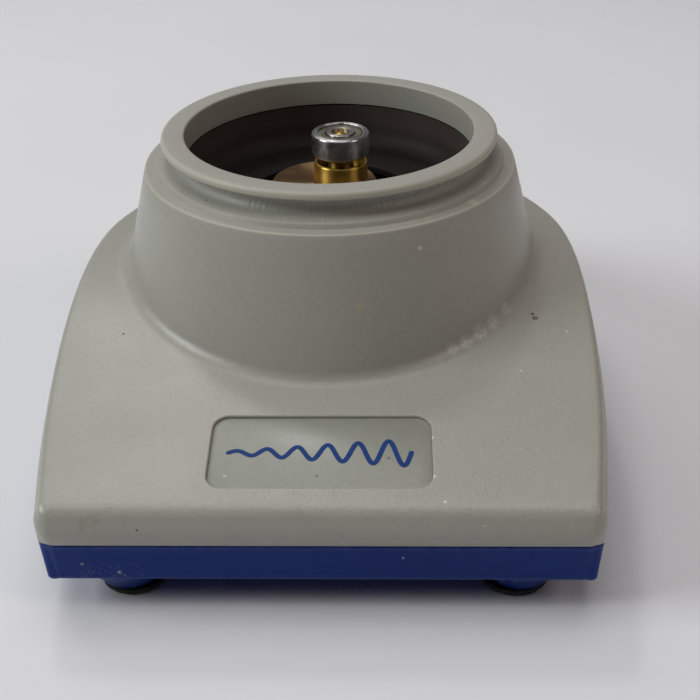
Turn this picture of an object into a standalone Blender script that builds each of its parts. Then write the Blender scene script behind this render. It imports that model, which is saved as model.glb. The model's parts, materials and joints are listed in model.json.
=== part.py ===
"""Touch-operated mini vortex mixer, modelled at rest in metres, +Z up.

The origin is on the table, under the middle of the body's footprint. The front faces -Y.
Lengths below are written in millimetres times MM.
"""

import math

import bmesh
import bpy
from mathutils import Matrix, Vector

MM = 0.001

# Overall body
BODY_WIDTH = 117.4 * MM
BODY_FRONT = 83.9 * MM  # spindle axis to the front face
BODY_BACK = 72.0 * MM  # spindle axis to the back
WIDEST_Y = -27.0 * MM  # widest section, measured from the spindle axis
BACK_POWER = 2.75  # exponent of the superellipse behind the widest section
FRONT_WIDTH = 107.8 * MM
CORNER_RADIUS = 3.5 * MM
SHARPEST = 0.4 * MM  # least radius of an inner corner
SPINDLE_Y = (BODY_FRONT - BODY_BACK) / 2
BASE_BOTTOM = 8.0 * MM
SEAM = 17.6 * MM
WALL = 2.2 * MM
GAP = 0.3 * MM  # left between pieces that touch
RUN_GAP = 0.12 * MM  # radial play of a turning fit

# Sloped apron and cone of the top casing
APRON_AT_SPINDLE = 43.5 * MM
APRON_SLOPE = 0.21
APRON_BEND_Y = -30.0 * MM  # behind this the apron curves down
APRON_BEND_LENGTH = 50.0 * MM  # and behind that it falls straight
APRON_BEND = 0.0035 / MM
CONE_TOP = 62.4 * MM
CONE_TOP_RADIUS = 42.0 * MM
CONE_FLARE = 0.255
CONE_FILLET = 5.0 * MM
FRONT_EDGE_RADIUS = 4.0 * MM
SIDE_EDGE_RADIUS = 1.6 * MM
TOP_INSET_SIDE = 1.0 * MM
TOP_INSET_FRONT = 0.3 * MM
SEAM_INSET_SIDE = 0.1 * MM
SEAM_INSET_FRONT = 1.1 * MM
BASE_DRAFT_SIDE = 0.55 * MM
BASE_DRAFT_FRONT = 1.1 * MM
BASE_EDGE = 1.0 * MM
WIDEST_AT = 0.35  # fraction of the wall's height below its top edge

# Ring on the cone
LIP_TOP = 70.0 * MM
LIP_INNER = 32.5 * MM
LIP_OUTER = 37.75 * MM
LIP_THICKNESS = 1.6 * MM
NECK_RADIUS = 35.7 * MM
REBATE_RADIUS = 34.0 * MM
REBATE_Z = 63.9 * MM
SHOULDER_UNDERSIDE = 60.0 * MM

# Well liner
LINER_FLOOR = 53.7 * MM
LINER_WALL = 1.2 * MM
LINER_HOLE = 18.8 * MM
LINER_FLANGE = 38.6 * MM

# Nameplate
PLATE_WIDTH = 43.2 * MM
PLATE_LENGTH = 18.7 * MM
PLATE_Y = -68.05 * MM
PLATE_CORNER = 3.2 * MM
PLATE_DEPTH = 1.3 * MM
PLATE_THICKNESS = 0.5 * MM

# Feet
FRONT_FOOT = (39.5 * MM, -70.3 * MM)
REAR_FOOT = (30.0 * MM, 49.5 * MM)
FOOT_RADIUS = 7.1 * MM
FOOT_HEIGHT = 1.5 * MM
PAD_INSET = 0.7 * MM  # pads sit this far towards the middle from their bosses
BOSS_RADIUS = 9.7 * MM
BOSS_TIP_RADIUS = 6.6 * MM
POST_RADIUS = 3.6 * MM

# Spindle
ECCENTRICITY = 2.5 * MM
DISC_RADIUS = 12.0 * MM
DISC_OFFSET = -1.45 * MM
DISC_TOP = 57.0 * MM
DISC_THICKNESS = 4.0 * MM
STEM_RADIUS = 6.1 * MM
STEM_TOP = 62.0 * MM
HUB_RADIUS = 6.0 * MM
HUB_BOTTOM = 46.8 * MM
SHAFT_RADIUS = 1.59 * MM
SHAFT_TOP = 54.5 * MM
SET_SCREW_Z = 49.6 * MM

# Ball bearing, 13 x 5 x 4
BEARING_OUTER = 6.5 * MM
BEARING_BORE = 2.0 * MM
BEARING_WIDTH = 5.0 * MM
BEARING_TOP = 68.8 * MM
BALL_RADIUS = 0.95 * MM
BALL_PITCH = 4.2 * MM
BALL_COUNT = 7

# Sprung motor carriage
CARRIAGE_TOP = 43.5 * MM
CARRIAGE_THICKNESS = 2.5 * MM
CARRIAGE_RADIUS = 31.0 * MM
POST_CIRCLE = 24.5 * MM
POST_ANGLES = (90, 210, 330)
GUIDE_RADIUS = 4.2 * MM
GUIDE_TOP = 30.0 * MM
SHANK_RADIUS = 2.0 * MM
SPRING_RADIUS = 2.95 * MM
SPRING_WIRE = 0.4 * MM
SPRING_TURNS = 4
MOTOR_RADIUS = 13.9 * MM
MOTOR_BOTTOM = 15.0 * MM
MOTOR_WALL = 1.0 * MM
MOTOR_SCREW_CIRCLE = 8.0 * MM
MOTOR_NOSE_RADIUS = 5.0 * MM
TERMINAL_X = 9.0 * MM

# Touch switch, under the front of the carriage
SWITCH_Y = -26.5 * MM
SWITCH_SIZE = (12.8 * MM, 5.8 * MM, 6.5 * MM)
SWITCH_TOP = 34.0 * MM
PLUNGER_RISE = 1.6 * MM
SHEET = 1.2 * MM

# Power jack in the back wall
JACK_Z = 23.9 * MM
JACK_SEAT_Y = BODY_BACK - 2.1 * MM
JACK_THREAD = 3.9 * MM
JACK_BEZEL = 5.2 * MM
JACK_LENGTH = 12.0 * MM
JACK_NUT_Z = -4.2 * MM

# Steel weight on the floor of the base
BALLAST_SIZE = (84 * MM, 28 * MM, 4 * MM)
BALLAST_Y = -50 * MM
BALLAST_SCREW_X = 24 * MM
WIRE_RADIUS = 0.75 * MM
SCREW_TIP = 9.2 * MM  # height of the floor screws' tips

SEGMENTS = 20  # sides of a small round piece


def clear_scene():
    for obj in list(bpy.data.objects):
        bpy.data.objects.remove(obj)


def collection(name):
    made = bpy.data.collections.new(name)
    bpy.context.scene.collection.children.link(made)
    return made


def material(name, colour, roughness, metallic=0.0):
    made = bpy.data.materials.new(name)
    made.use_nodes = True
    shader = made.node_tree.nodes["Principled BSDF"]
    shader.inputs["Base Color"].default_value = (*colour, 1)
    shader.inputs["Roughness"].default_value = roughness
    shader.inputs["Metallic"].default_value = metallic
    return made


clear_scene()
PARTS = collection("vortex_mixer")
CUTTERS = collection("cutters")
GREY_ABS = material("grey_abs", (0.42, 0.42, 0.38), 0.45)
BLUE_ABS = material("blue_abs", (0.015, 0.025, 0.16), 0.4)
BLACK_PLASTIC = material("black_plastic", (0.012, 0.011, 0.011), 0.5)
LABEL = material("label", (0.5, 0.51, 0.49), 0.35)
BLACK_RUBBER = material("black_rubber", (0.01, 0.01, 0.01), 0.8)
BRASS = material("brass", (0.62, 0.42, 0.15), 0.3, 1.0)
BEARING_STEEL = material("bearing_steel", (0.6, 0.6, 0.6), 0.2, 1.0)
ZINC_STEEL = material("zinc_steel", (0.5, 0.5, 0.52), 0.35, 1.0)
MAGNET = material("magnet", (0.06, 0.06, 0.065), 0.6)
COPPER = material("copper", (0.6, 0.28, 0.15), 0.35, 1.0)
BLACK_STEEL = material("black_steel", (0.02, 0.02, 0.02), 0.45, 0.8)
RED_WIRE = material("red_wire", (0.4, 0.01, 0.01), 0.5)
BLACK_WIRE = material("black_wire", (0.01, 0.01, 0.01), 0.5)


def on_spindle(x, y, z=0.0):
    """A place given from the spindle axis."""
    return Vector((x, SPINDLE_Y + y, z))


def polar(radius, degrees):
    angle = math.radians(degrees)
    return radius * math.cos(angle), radius * math.sin(angle)


def place(obj, mat, where=(0, 0, 0)):
    obj.location = where
    obj.data.materials.append(mat)
    return obj


def mesh_object(name, made, into=None):
    mesh = bpy.data.meshes.new(name)
    bmesh.ops.recalc_face_normals(made, faces=made.faces)
    made.to_mesh(mesh)
    made.free()
    obj = bpy.data.objects.new(name, mesh)
    (into or PARTS).objects.link(obj)
    mesh.shade_smooth()
    mesh.set_sharp_from_angle(angle=math.radians(32))
    return obj


def lathe(name, profile, segments=SEGMENTS, closed=False, into=None):
    """Turns a profile of (radius, z) points, listed down the outer side, with a Screw modifier."""
    mesh = bpy.data.meshes.new(name)
    edges = [(i, i + 1) for i in range(len(profile) - 1)]
    if closed:
        edges.append((len(profile) - 1, 0))
    mesh.from_pydata([(radius, 0, z) for radius, z in profile], edges, [])
    obj = bpy.data.objects.new(name, mesh)
    (into or PARTS).objects.link(obj)
    screw = obj.modifiers.new("Turn", "SCREW")
    screw.steps = segments
    screw.render_steps = segments
    screw.use_merge_vertices = True
    screw.merge_threshold = 0.00001
    screw.use_smooth_shade = True
    return obj


def tube(name, outer, inner, low, high, segments=SEGMENTS, chamfer=0.0):
    """A ring of square section, with its outer edges chamfered."""
    profile = [
        (outer - chamfer, high),
        (outer, high - chamfer),
        (outer, low + chamfer),
        (outer - chamfer, low),
        (inner, low),
        (inner, high),
    ]
    if not chamfer:
        profile = [(outer, high), (outer, low), (inner, low), (inner, high)]
    return lathe(name, profile, segments, closed=True)


def cutter_cylinder(name, radius, low, high, segments=SEGMENTS):
    made = bmesh.new()
    depth = high - low
    bmesh.ops.create_cone(
        made, cap_ends=True, segments=segments, radius1=radius, radius2=radius, depth=depth,
        matrix=Matrix.Translation((0, 0, (low + high) / 2)),
    )
    return as_cutter(mesh_object(name, made, CUTTERS))


def cutter_box(name, size, centre=(0, 0, 0), turn=None):
    made = bmesh.new()
    matrix = Matrix.Translation(centre) @ (turn or Matrix()) @ Matrix.Diagonal((*size, 1))
    bmesh.ops.create_cube(made, size=1, matrix=matrix)
    return as_cutter(mesh_object(name, made, CUTTERS))


def as_cutter(obj):
    obj.hide_render = True
    obj.display_type = "WIRE"
    return obj


def combine(obj, other, operation):
    modifier = obj.modifiers.new(other.name, "BOOLEAN")
    modifier.object = other
    modifier.operation = operation
    modifier.solver = "EXACT"
    return obj


def cut(obj, cutter, where=None):
    if where is not None:
        cutter.location = where
    return combine(obj, cutter, "DIFFERENCE")


def join(obj, other, where=None):
    if where is not None:
        other.location = where
    return combine(obj, other, "UNION")


# ---------------------------------------------------------------- body outline


def side_arc_radius():
    """Radius of the bowed side between its widest section and the front corner."""
    drop = (BODY_WIDTH - FRONT_WIDTH) / 2
    run = BODY_FRONT - CORNER_RADIUS + WIDEST_Y
    return (run**2 + drop**2) / (2 * drop)


def half_outline():
    """Down the right-hand side of the widest section, from the back to the front.

    Each entry is (point, outward normal, miter), where the miter is set on the rounded corner only.
    """
    half = BODY_WIDTH / 2
    depth = BODY_BACK - WIDEST_Y
    spots = []
    for step in range(14):
        angle = math.pi / 2 * (1 - step / 14)
        across, back = math.cos(angle) / half, math.sin(angle) / depth
        reach = (across**BACK_POWER + back**BACK_POWER) ** (-1 / BACK_POWER)
        point = Vector((math.cos(angle) * reach, WIDEST_Y + math.sin(angle) * reach))
        normal = Vector((across ** (BACK_POWER - 1) / half, back ** (BACK_POWER - 1) / depth)).normalized()
        spots.append((point, normal, None))
    radius = side_arc_radius()
    end = math.asin((BODY_FRONT - CORNER_RADIUS + WIDEST_Y) / radius)
    for step in range(7):
        angle = end * step / 7
        point = Vector((half - radius * (1 - math.cos(angle)), WIDEST_Y - radius * math.sin(angle)))
        spots.append((point, Vector((math.cos(angle), -math.sin(angle))), None))
    side = Vector((math.cos(end), -math.sin(end)))
    front = Vector((0, -1))
    miter = (side + front) / (1 + side.dot(front))
    corner_x = half - radius * (1 - math.cos(end)) - CORNER_RADIUS * math.cos(end)
    centre = Vector((corner_x, -BODY_FRONT + CORNER_RADIUS))
    for step in range(4):
        angle = -end - (math.pi / 2 - end) * step / 3
        normal = Vector((math.cos(angle), math.sin(angle)))
        spots.append((centre + normal * CORNER_RADIUS, normal, miter))
    for step in range(1, 8):
        spots.append((Vector((corner_x * (1 - step / 7), -BODY_FRONT)), front, None))
    return spots


def mirrored(spot):
    point, normal, miter = spot
    flip = Vector((-1, 1))
    return point * flip, normal * flip, miter and miter * flip


def outline():
    """The whole widest section, counter-clockwise from the back."""
    right = half_outline()
    return [right[0]] + [mirrored(spot) for spot in right[1:-1]] + right[:0:-1]


def inside(spot, distance):
    """The point this far inside the widest section. Past its own radius, a rounded corner stays slightly round."""
    point, normal, miter = spot
    if miter is None or distance <= CORNER_RADIUS - SHARPEST:
        return point - normal * distance
    centre = point - normal * CORNER_RADIUS
    return centre - miter * (distance - CORNER_RADIUS + SHARPEST) + normal * SHARPEST


def frontness(normal):
    """0 on the sides and back, rising to 1 on the front face."""
    share = min(max((-normal.y - 0.25) / 0.7, 0.0), 1.0)
    return share * share * (3 - 2 * share)


def blend(side, front, normal):
    """A value that is different on the front face from the sides and back."""
    return side + (front - side) * frontness(normal)


def apron_height(point):
    behind = max(point.y - APRON_BEND_Y, 0.0)
    bent = min(behind, APRON_BEND_LENGTH)
    drop = APRON_BEND * (bent**2 + 2 * bent * (behind - bent))
    return APRON_AT_SPINDLE + APRON_SLOPE * point.y - drop


def wall_inset(share, top_inset, seam_inset):
    """How far the wall stands inside the widest section, share of the way down from its top edge."""
    if share < WIDEST_AT:
        return top_inset * (1 - share / WIDEST_AT) ** 2
    return seam_inset * ((share - WIDEST_AT) / (1 - WIDEST_AT)) ** 2


def edge_rows(spot):
    """Points down one side of the casing: the rounded top edge, then the bowed wall, to the seam."""
    radius = blend(SIDE_EDGE_RADIUS, FRONT_EDGE_RADIUS, spot[1])
    top_inset = blend(TOP_INSET_SIDE, TOP_INSET_FRONT, spot[1])
    seam_inset = blend(SEAM_INSET_SIDE, SEAM_INSET_FRONT, spot[1])
    rows = []
    for step in range(4):
        angle = math.radians(84) * step / 3
        inset = top_inset + radius * (1 - math.sin(angle))
        point = inside(spot, inset)
        rows.append((point, apron_height(point) - radius * (1 - math.cos(angle))))
    top = rows[-1][1]
    for step in range(1, 6):
        share = step / 5
        point = inside(spot, wall_inset(share, top_inset, seam_inset))
        rows.append((point, top + (SEAM - top) * share))
    return rows


def cone_radius(z):
    return CONE_TOP_RADIUS + CONE_FLARE * (CONE_TOP - z)


def meet_apron(direction, lift=0.0, inward=0.0):
    """Radius and height where the cone's flank meets the apron, in one direction from the spindle."""
    radius = CONE_TOP_RADIUS
    for _ in range(12):
        z = apron_height(direction * radius) - lift
        radius = cone_radius(z) - inward
    return radius, z


def fillet_rows(direction, steps=4):
    """The concave blend from the cone's flank to the apron, as (radius, z) points."""
    radius, z = meet_apron(direction)
    corner = Vector((radius, z))
    up = Vector((-CONE_FLARE, 1)).normalized()
    beyond = apron_height(direction * (radius + MM))
    out = Vector((MM, beyond - z)).normalized()
    between = up.angle(out)
    reach = CONE_FILLET / math.tan(between / 2)
    centre = corner + (up + out).normalized() * CONE_FILLET / math.sin(between / 2)
    start = corner + up * reach - centre
    end = corner + out * reach - centre
    first = math.atan2(start.y, start.x)
    last = math.atan2(end.y, end.x)
    turn = (last - first + math.pi) % (2 * math.pi) - math.pi
    rows = []
    for step in range(steps + 1):
        angle = first + turn * step / steps
        rows.append((centre.x + CONE_FILLET * math.cos(angle), centre.y + CONE_FILLET * math.sin(angle)))
    return rows


def ring_rows():
    """The turned top of the casing, from the rebate up the well's wall, over the lip, to the flank."""
    lip_under = LIP_TOP - LIP_THICKNESS
    edge = 0.3 * MM
    brow = 0.9 * MM
    return [
        (REBATE_RADIUS, REBATE_Z),
        (LIP_INNER, REBATE_Z),
        (LIP_INNER, LIP_TOP - edge),
        (LIP_INNER + edge, LIP_TOP),
        (LIP_OUTER - brow, LIP_TOP),
        (LIP_OUTER - brow * 0.3, LIP_TOP - brow * 0.3),
        (LIP_OUTER, LIP_TOP - brow),
        (LIP_OUTER, lip_under + edge),
        (LIP_OUTER - edge, lip_under),
        (NECK_RADIUS, lip_under - 0.4 * MM),
        (NECK_RADIUS, 66.4 * MM),
        (NECK_RADIUS + 0.6 * MM, 65.1 * MM),
        (37.8 * MM, 64.2 * MM),
        (38.8 * MM, 63.9 * MM),
        (39.4 * MM, 63.1 * MM),
        (39.7 * MM, 62.8 * MM),
        (41.7 * MM, 62.7 * MM),
        (CONE_TOP_RADIUS + CONE_FLARE * 0.2 * MM, CONE_TOP - 0.2 * MM),
    ]


def casing_column(spot):
    """One closed section of the casing's shell, from the rebate over the outside and back inside."""
    edge = edge_rows(spot)
    toward = edge[0][0].normalized()
    column = [(toward * radius, z) for radius, z in ring_rows()]
    column += [(toward * radius, z) for radius, z in fillet_rows(toward)]
    column += edge
    column.append((inside(spot, blend(SEAM_INSET_SIDE, SEAM_INSET_FRONT, spot[1]) + WALL), SEAM))
    thickness = WALL * math.hypot(1, APRON_SLOPE)
    high = inside(spot, TOP_INSET_SIDE + WALL + 0.6 * MM)
    ceiling = apron_height(high) - thickness
    column.append((high, SEAM + (ceiling - SEAM) * 0.65))
    column.append((high, ceiling))
    radius, z = meet_apron(toward, lift=thickness, inward=WALL)
    radius = min(radius, high.length - 0.25 * MM)
    column.append((toward * radius, z))
    column.append((toward * (cone_radius(SHOULDER_UNDERSIDE) - WALL), SHOULDER_UNDERSIDE))
    column.append((toward * REBATE_RADIUS, SHOULDER_UNDERSIDE))
    return [on_spindle(spot.x, spot.y, z) for spot, z in column]


def skin(name, columns, into=None):
    """A closed surface through closed sections, each joined to the next, the last to the first."""
    made = bmesh.new()
    grid = [[made.verts.new(spot) for spot in column] for column in columns]
    count = len(grid[0])
    for i, column in enumerate(grid):
        following = grid[(i + 1) % len(grid)]
        for j in range(count):
            k = (j + 1) % count
            made.faces.new((column[j], column[k], following[k], following[j]))
    return mesh_object(name, made, into)


# ---------------------------------------------------------------- casings


def apron_matrix(x, y):
    """A frame lying on the apron, its Z along the apron's normal."""
    tilt = Matrix.Rotation(math.atan(APRON_SLOPE), 4, "X")
    spot = on_spindle(x, y, APRON_AT_SPINDLE + APRON_SLOPE * y)
    return Matrix.Translation(spot) @ tilt


def rounded_slab(name, width, length, corner, low, high, into=None):
    made = bmesh.new()
    corners = ((1, 1, 0), (-1, 1, 90), (-1, -1, 180), (1, -1, 270))
    ring = []
    for sx, sy, start in corners:
        for step in range(6):
            x, y = polar(corner, start + 18 * step)
            ring.append((sx * (width / 2 - corner) + x, sy * (length / 2 - corner) + y))
    face = made.faces.new([made.verts.new((x, y, low)) for x, y in ring])
    lifted = bmesh.ops.extrude_face_region(made, geom=[face])["geom"]
    moved = [part for part in lifted if isinstance(part, bmesh.types.BMVert)]
    bmesh.ops.translate(made, verts=moved, vec=(0, 0, high - low))
    return mesh_object(name, made, into)


def foot_places(inset=0.0):
    """The four bosses, and with an inset, their pads: front left, front right, rear left, rear right."""
    for x, y in (FRONT_FOOT, REAR_FOOT):
        yield on_spindle(inset - x, y)
        yield on_spindle(x - inset, y)


def top_casing():
    obj = skin("top_casing", [casing_column(spot) for spot in outline()])
    post_bottom = SEAM + 1.0 * MM
    for number, spot in enumerate(foot_places()):
        ceiling = apron_height(Vector((0, spot.y - SPINDLE_Y))) - 1.2 * MM
        post = cutter_cylinder(f"post_{number}", POST_RADIUS, post_bottom, ceiling, 16)
        join(obj, post, (spot.x, spot.y, 0))
        pilot = cutter_cylinder(f"pilot_{number}", 1.35 * MM, post_bottom - MM, post_bottom + 5.5 * MM, 12)
        cut(obj, pilot, (spot.x, spot.y, 0))
    recess = as_cutter(
        rounded_slab("plate_recess", PLATE_WIDTH, PLATE_LENGTH, PLATE_CORNER, -PLATE_DEPTH, 3 * MM, CUTTERS)
    )
    recess.matrix_world = apron_matrix(0, PLATE_Y)
    combine(obj, recess, "DIFFERENCE")
    hole = cutter_cylinder("jack_hole", JACK_THREAD + GAP, -8 * MM, 8 * MM, 22)
    hole.matrix_world = jack_matrix()
    combine(obj, hole, "DIFFERENCE")
    face = cutter_cylinder("jack_face", JACK_BEZEL + GAP, -GAP, 6 * MM, 24)
    face.matrix_world = jack_matrix()
    combine(obj, face, "DIFFERENCE")
    return place(obj, GREY_ABS)


def nameplate():
    thin = 2 * GAP
    obj = rounded_slab(
        "nameplate", PLATE_WIDTH - thin, PLATE_LENGTH - thin, PLATE_CORNER - GAP,
        -PLATE_DEPTH + 0.2 * MM, -PLATE_DEPTH + 0.2 * MM + PLATE_THICKNESS,
    )
    obj.matrix_world = apron_matrix(0, PLATE_Y)
    obj.data.materials.append(LABEL)
    return obj


def base_column(spot):
    """Half of a closed section of the base's rim wall: outside, bottom edge and inside."""
    draft = blend(BASE_DRAFT_SIDE, BASE_DRAFT_FRONT, spot[1])
    outer = blend(SEAM_INSET_SIDE, SEAM_INSET_FRONT, spot[1]) + 0.05 * MM
    floor = BASE_BOTTOM + WALL
    outside = [
        (outer, SEAM - GAP),
        (outer + draft * 0.5, (SEAM + BASE_BOTTOM) / 2),
        (outer + draft, BASE_BOTTOM + BASE_EDGE),
        (outer + draft + BASE_EDGE * 0.35, BASE_BOTTOM + BASE_EDGE * 0.35),
        (outer + draft + BASE_EDGE, BASE_BOTTOM),
    ]
    within = [
        (outer + draft + WALL, floor),
        (outer + WALL, SEAM - GAP),
    ]
    outer_points = [on_spindle(*inside(spot, inset), z) for inset, z in outside]
    inner_points = [on_spindle(*inside(spot, inset), z) for inset, z in within]
    return outer_points, inner_points


def base_pan():
    """A drafted tray: its rim wall is a skin, closed by one flat face under and one flat face inside."""
    made = bmesh.new()
    grid = []
    for spot in outline():
        outer_points, inner_points = base_column(spot)
        column = outer_points[::-1] + inner_points[::-1]
        grid.append([made.verts.new(point) for point in column])
    for i, row in enumerate(grid):
        following = grid[(i + 1) % len(grid)]
        for j in range(len(row) - 1):
            made.faces.new((row[j], row[j + 1], following[j + 1], following[j]))
    made.faces.new([row[0] for row in grid])
    made.faces.new([row[-1] for row in grid])
    obj = mesh_object("base_pan", made)
    for number, spot in enumerate(foot_places()):
        boss = as_cutter(lathe(f"boss_{number}", boss_profile(), 18, into=CUTTERS))
        join(obj, boss, (spot.x, spot.y, 0))
        hole = cutter_cylinder(f"screw_way_{number}", 1.75 * MM, 0, SEAM, 12)
        cut(obj, hole, (spot.x, spot.y, 0))
        sink = cutter_cylinder(f"screw_sink_{number}", 3.4 * MM, 0, 8.6 * MM, 16)
        cut(obj, sink, (spot.x, spot.y, 0))
    floor_screws = [(-BALLAST_SCREW_X, BALLAST_Y), (BALLAST_SCREW_X, BALLAST_Y), (0, SWITCH_Y)]
    for number, (x, y) in enumerate(floor_screws):
        pilot = cutter_cylinder(f"floor_pilot_{number}", 1.5 * MM, SCREW_TIP - GAP, SEAM, 12)
        cut(obj, pilot, on_spindle(x, y))
    return place(obj, BLUE_ABS)


def boss_profile():
    """A conical foot boss under the floor, with a column inside the tray for the casing screw."""
    low = FOOT_HEIGHT + GAP
    return [
        (0, SEAM - 1 * MM),
        (POST_RADIUS, SEAM - 1 * MM),
        (POST_RADIUS, BASE_BOTTOM + WALL / 2),
        (BOSS_RADIUS, BASE_BOTTOM + WALL / 2),
        (BOSS_RADIUS, BASE_BOTTOM),
        (BOSS_TIP_RADIUS + 0.5 * MM, low + 0.8 * MM),
        (BOSS_TIP_RADIUS, low),
        (0, low),
    ]


def feet():
    profile = [
        (0, FOOT_HEIGHT),
        (FOOT_RADIUS - 0.3 * MM, FOOT_HEIGHT),
        (FOOT_RADIUS, FOOT_HEIGHT - 0.3 * MM),
        (FOOT_RADIUS, 0.6 * MM),
        (FOOT_RADIUS - 0.5 * MM, 0),
        (0, 0),
    ]
    names = ("front_left", "front_right", "rear_left", "rear_right")
    for name, spot in zip(names, foot_places(PAD_INSET)):
        place(lathe(f"foot_pad_{name}", profile, 20), BLACK_RUBBER, (spot.x, spot.y, 0))


def pan_screw(name, head, shank, length):
    """A screw standing on its head's seat at z = 0, its shank going up, with a hexagon socket below."""
    height = head * 0.62
    profile = [
        (0, length),
        (shank, length),
        (shank, 0),
        (head, 0),
        (head, -height * 0.6),
        (head * 0.75, -height),
        (0, -height),
    ]
    obj = lathe(name, profile, 12, into=CUTTERS)
    socket = cutter_cylinder(f"{name}_socket", head * 0.42, -1.5 * height, -0.4 * height, 6)
    socket.parent = obj
    return combine(obj, socket, "DIFFERENCE")


def fixed_copies(maker, names, spots, mat, flip=False):
    """The same screw at each place, all sharing one mesh with its socket already cut."""
    first = maker()
    bpy.context.view_layer.update()
    graph = bpy.context.evaluated_depsgraph_get()
    mesh = bpy.data.meshes.new_from_object(first.evaluated_get(graph))
    mesh.materials.clear()
    mesh.materials.append(mat)
    mesh.shade_smooth()
    mesh.set_sharp_from_angle(angle=math.radians(32))
    bpy.data.objects.remove(first)
    for name, spot in zip(names, spots):
        obj = bpy.data.objects.new(name, mesh)
        PARTS.objects.link(obj)
        obj.location = spot
        if flip:
            obj.rotation_euler.x = math.pi


def casing_screws():
    seat = 8.6 * MM - GAP
    fixed_copies(
        lambda: pan_screw("screw_master", 2.9 * MM, 1.2 * MM, 15.2 * MM),
        [f"casing_screw_{number}" for number in (1, 2, 3, 4)],
        [(spot.x, spot.y, seat) for spot in foot_places()],
        ZINC_STEEL,
    )


# ---------------------------------------------------------------- well liner


def well_liner():
    """A black cup under the lip, with a flange below the shoulder and a round hole for the spindle."""
    inner = LIP_INNER + 0.1 * MM
    outer = REBATE_RADIUS - GAP
    flange_top = SHOULDER_UNDERSIDE - GAP
    bottom = LINER_FLOOR - 1.5 * MM
    profile = [
        (outer, REBATE_Z - GAP),
        (outer, flange_top),
        (LINER_FLANGE, flange_top),
        (LINER_FLANGE, flange_top - 1.5 * MM),
        (outer, flange_top - 1.5 * MM),
        (outer, bottom + MM),
        (outer - MM, bottom),
        (LINER_HOLE, bottom),
        (LINER_HOLE, LINER_FLOOR),
        (inner - MM, LINER_FLOOR),
        (inner, LINER_FLOOR + MM),
        (inner, REBATE_Z - GAP),
    ]
    obj = lathe("well_liner", profile, 36, closed=True)
    return place(obj, BLACK_PLASTIC, on_spindle(0, 0))


# ---------------------------------------------------------------- spindle


def eccentric_hub():
    disc = [
        (0, DISC_TOP),
        (DISC_RADIUS - 0.3 * MM, DISC_TOP),
        (DISC_RADIUS, DISC_TOP - 0.3 * MM),
        (DISC_RADIUS, DISC_TOP - DISC_THICKNESS + 0.3 * MM),
        (DISC_RADIUS - 0.3 * MM, DISC_TOP - DISC_THICKNESS),
        (0, DISC_TOP - DISC_THICKNESS),
    ]
    obj = lathe("eccentric_hub", disc, 32)
    obj.location = on_spindle(DISC_OFFSET, 0)
    boss = cutter_cylinder("hub_boss", HUB_RADIUS, HUB_BOTTOM, DISC_TOP - 1.5 * MM, 20)
    join(obj, boss, on_spindle(0, 0))
    groove = BEARING_TOP - BEARING_WIDTH
    pin_top = BEARING_TOP - 0.25 * MM
    pin = BEARING_BORE - RUN_GAP
    stem = [
        (0, pin_top),
        (1.35 * MM, pin_top),
        (pin, pin_top - 0.55 * MM),
        (pin, groove - GAP),
        (BEARING_BORE + 0.9 * MM, groove - GAP),
        (BEARING_BORE + 0.9 * MM, STEM_TOP - 0.5 * MM),
        (STEM_RADIUS - 0.9 * MM, STEM_TOP - 0.5 * MM),
        (STEM_RADIUS - 0.7 * MM, STEM_TOP),
        (STEM_RADIUS - 0.2 * MM, STEM_TOP),
        (STEM_RADIUS, STEM_TOP - 0.25 * MM),
        (STEM_RADIUS, DISC_TOP - 2 * MM),
        (0, DISC_TOP - 2 * MM),
    ]
    post = as_cutter(lathe("hub_stem", stem, 24, into=CUTTERS))
    join(obj, post, on_spindle(ECCENTRICITY, 0))
    bore = cutter_cylinder("hub_bore", SHAFT_RADIUS + RUN_GAP, HUB_BOTTOM - MM, SHAFT_TOP + GAP, 16)
    cut(obj, bore, on_spindle(0, 0))
    side = cutter_cylinder("hub_side_hole", 1.5 * MM + RUN_GAP, 0, 12 * MM, 12)
    side.matrix_world = set_screw_matrix()
    combine(obj, side, "DIFFERENCE")
    return place(obj, BRASS, obj.location.copy())


def set_screw_matrix():
    spot = on_spindle(0, 0, SET_SCREW_Z)
    return Matrix.Translation(spot) @ Matrix.Rotation(-math.pi / 2, 4, "Y")


def hub_set_screw():
    """A socket set screw in the boss, bearing on the motor shaft from the -X side."""
    start = SHAFT_RADIUS + 0.35 * MM
    end = start + 4 * MM
    profile = [
        (0, end),
        (1.2 * MM, end),
        (1.5 * MM, end - 0.3 * MM),
        (1.5 * MM, start + 0.4 * MM),
        (1.1 * MM, start),
        (0, start),
    ]
    obj = lathe("hub_set_screw", profile, 16)
    socket = cutter_cylinder("set_screw_socket", 0.85 * MM, end - 1.5 * MM, end + MM, 6)
    socket.matrix_world = set_screw_matrix()
    combine(obj, socket, "DIFFERENCE")
    obj.data.materials.append(BLACK_STEEL)
    obj.matrix_world = set_screw_matrix()
    return obj


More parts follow.
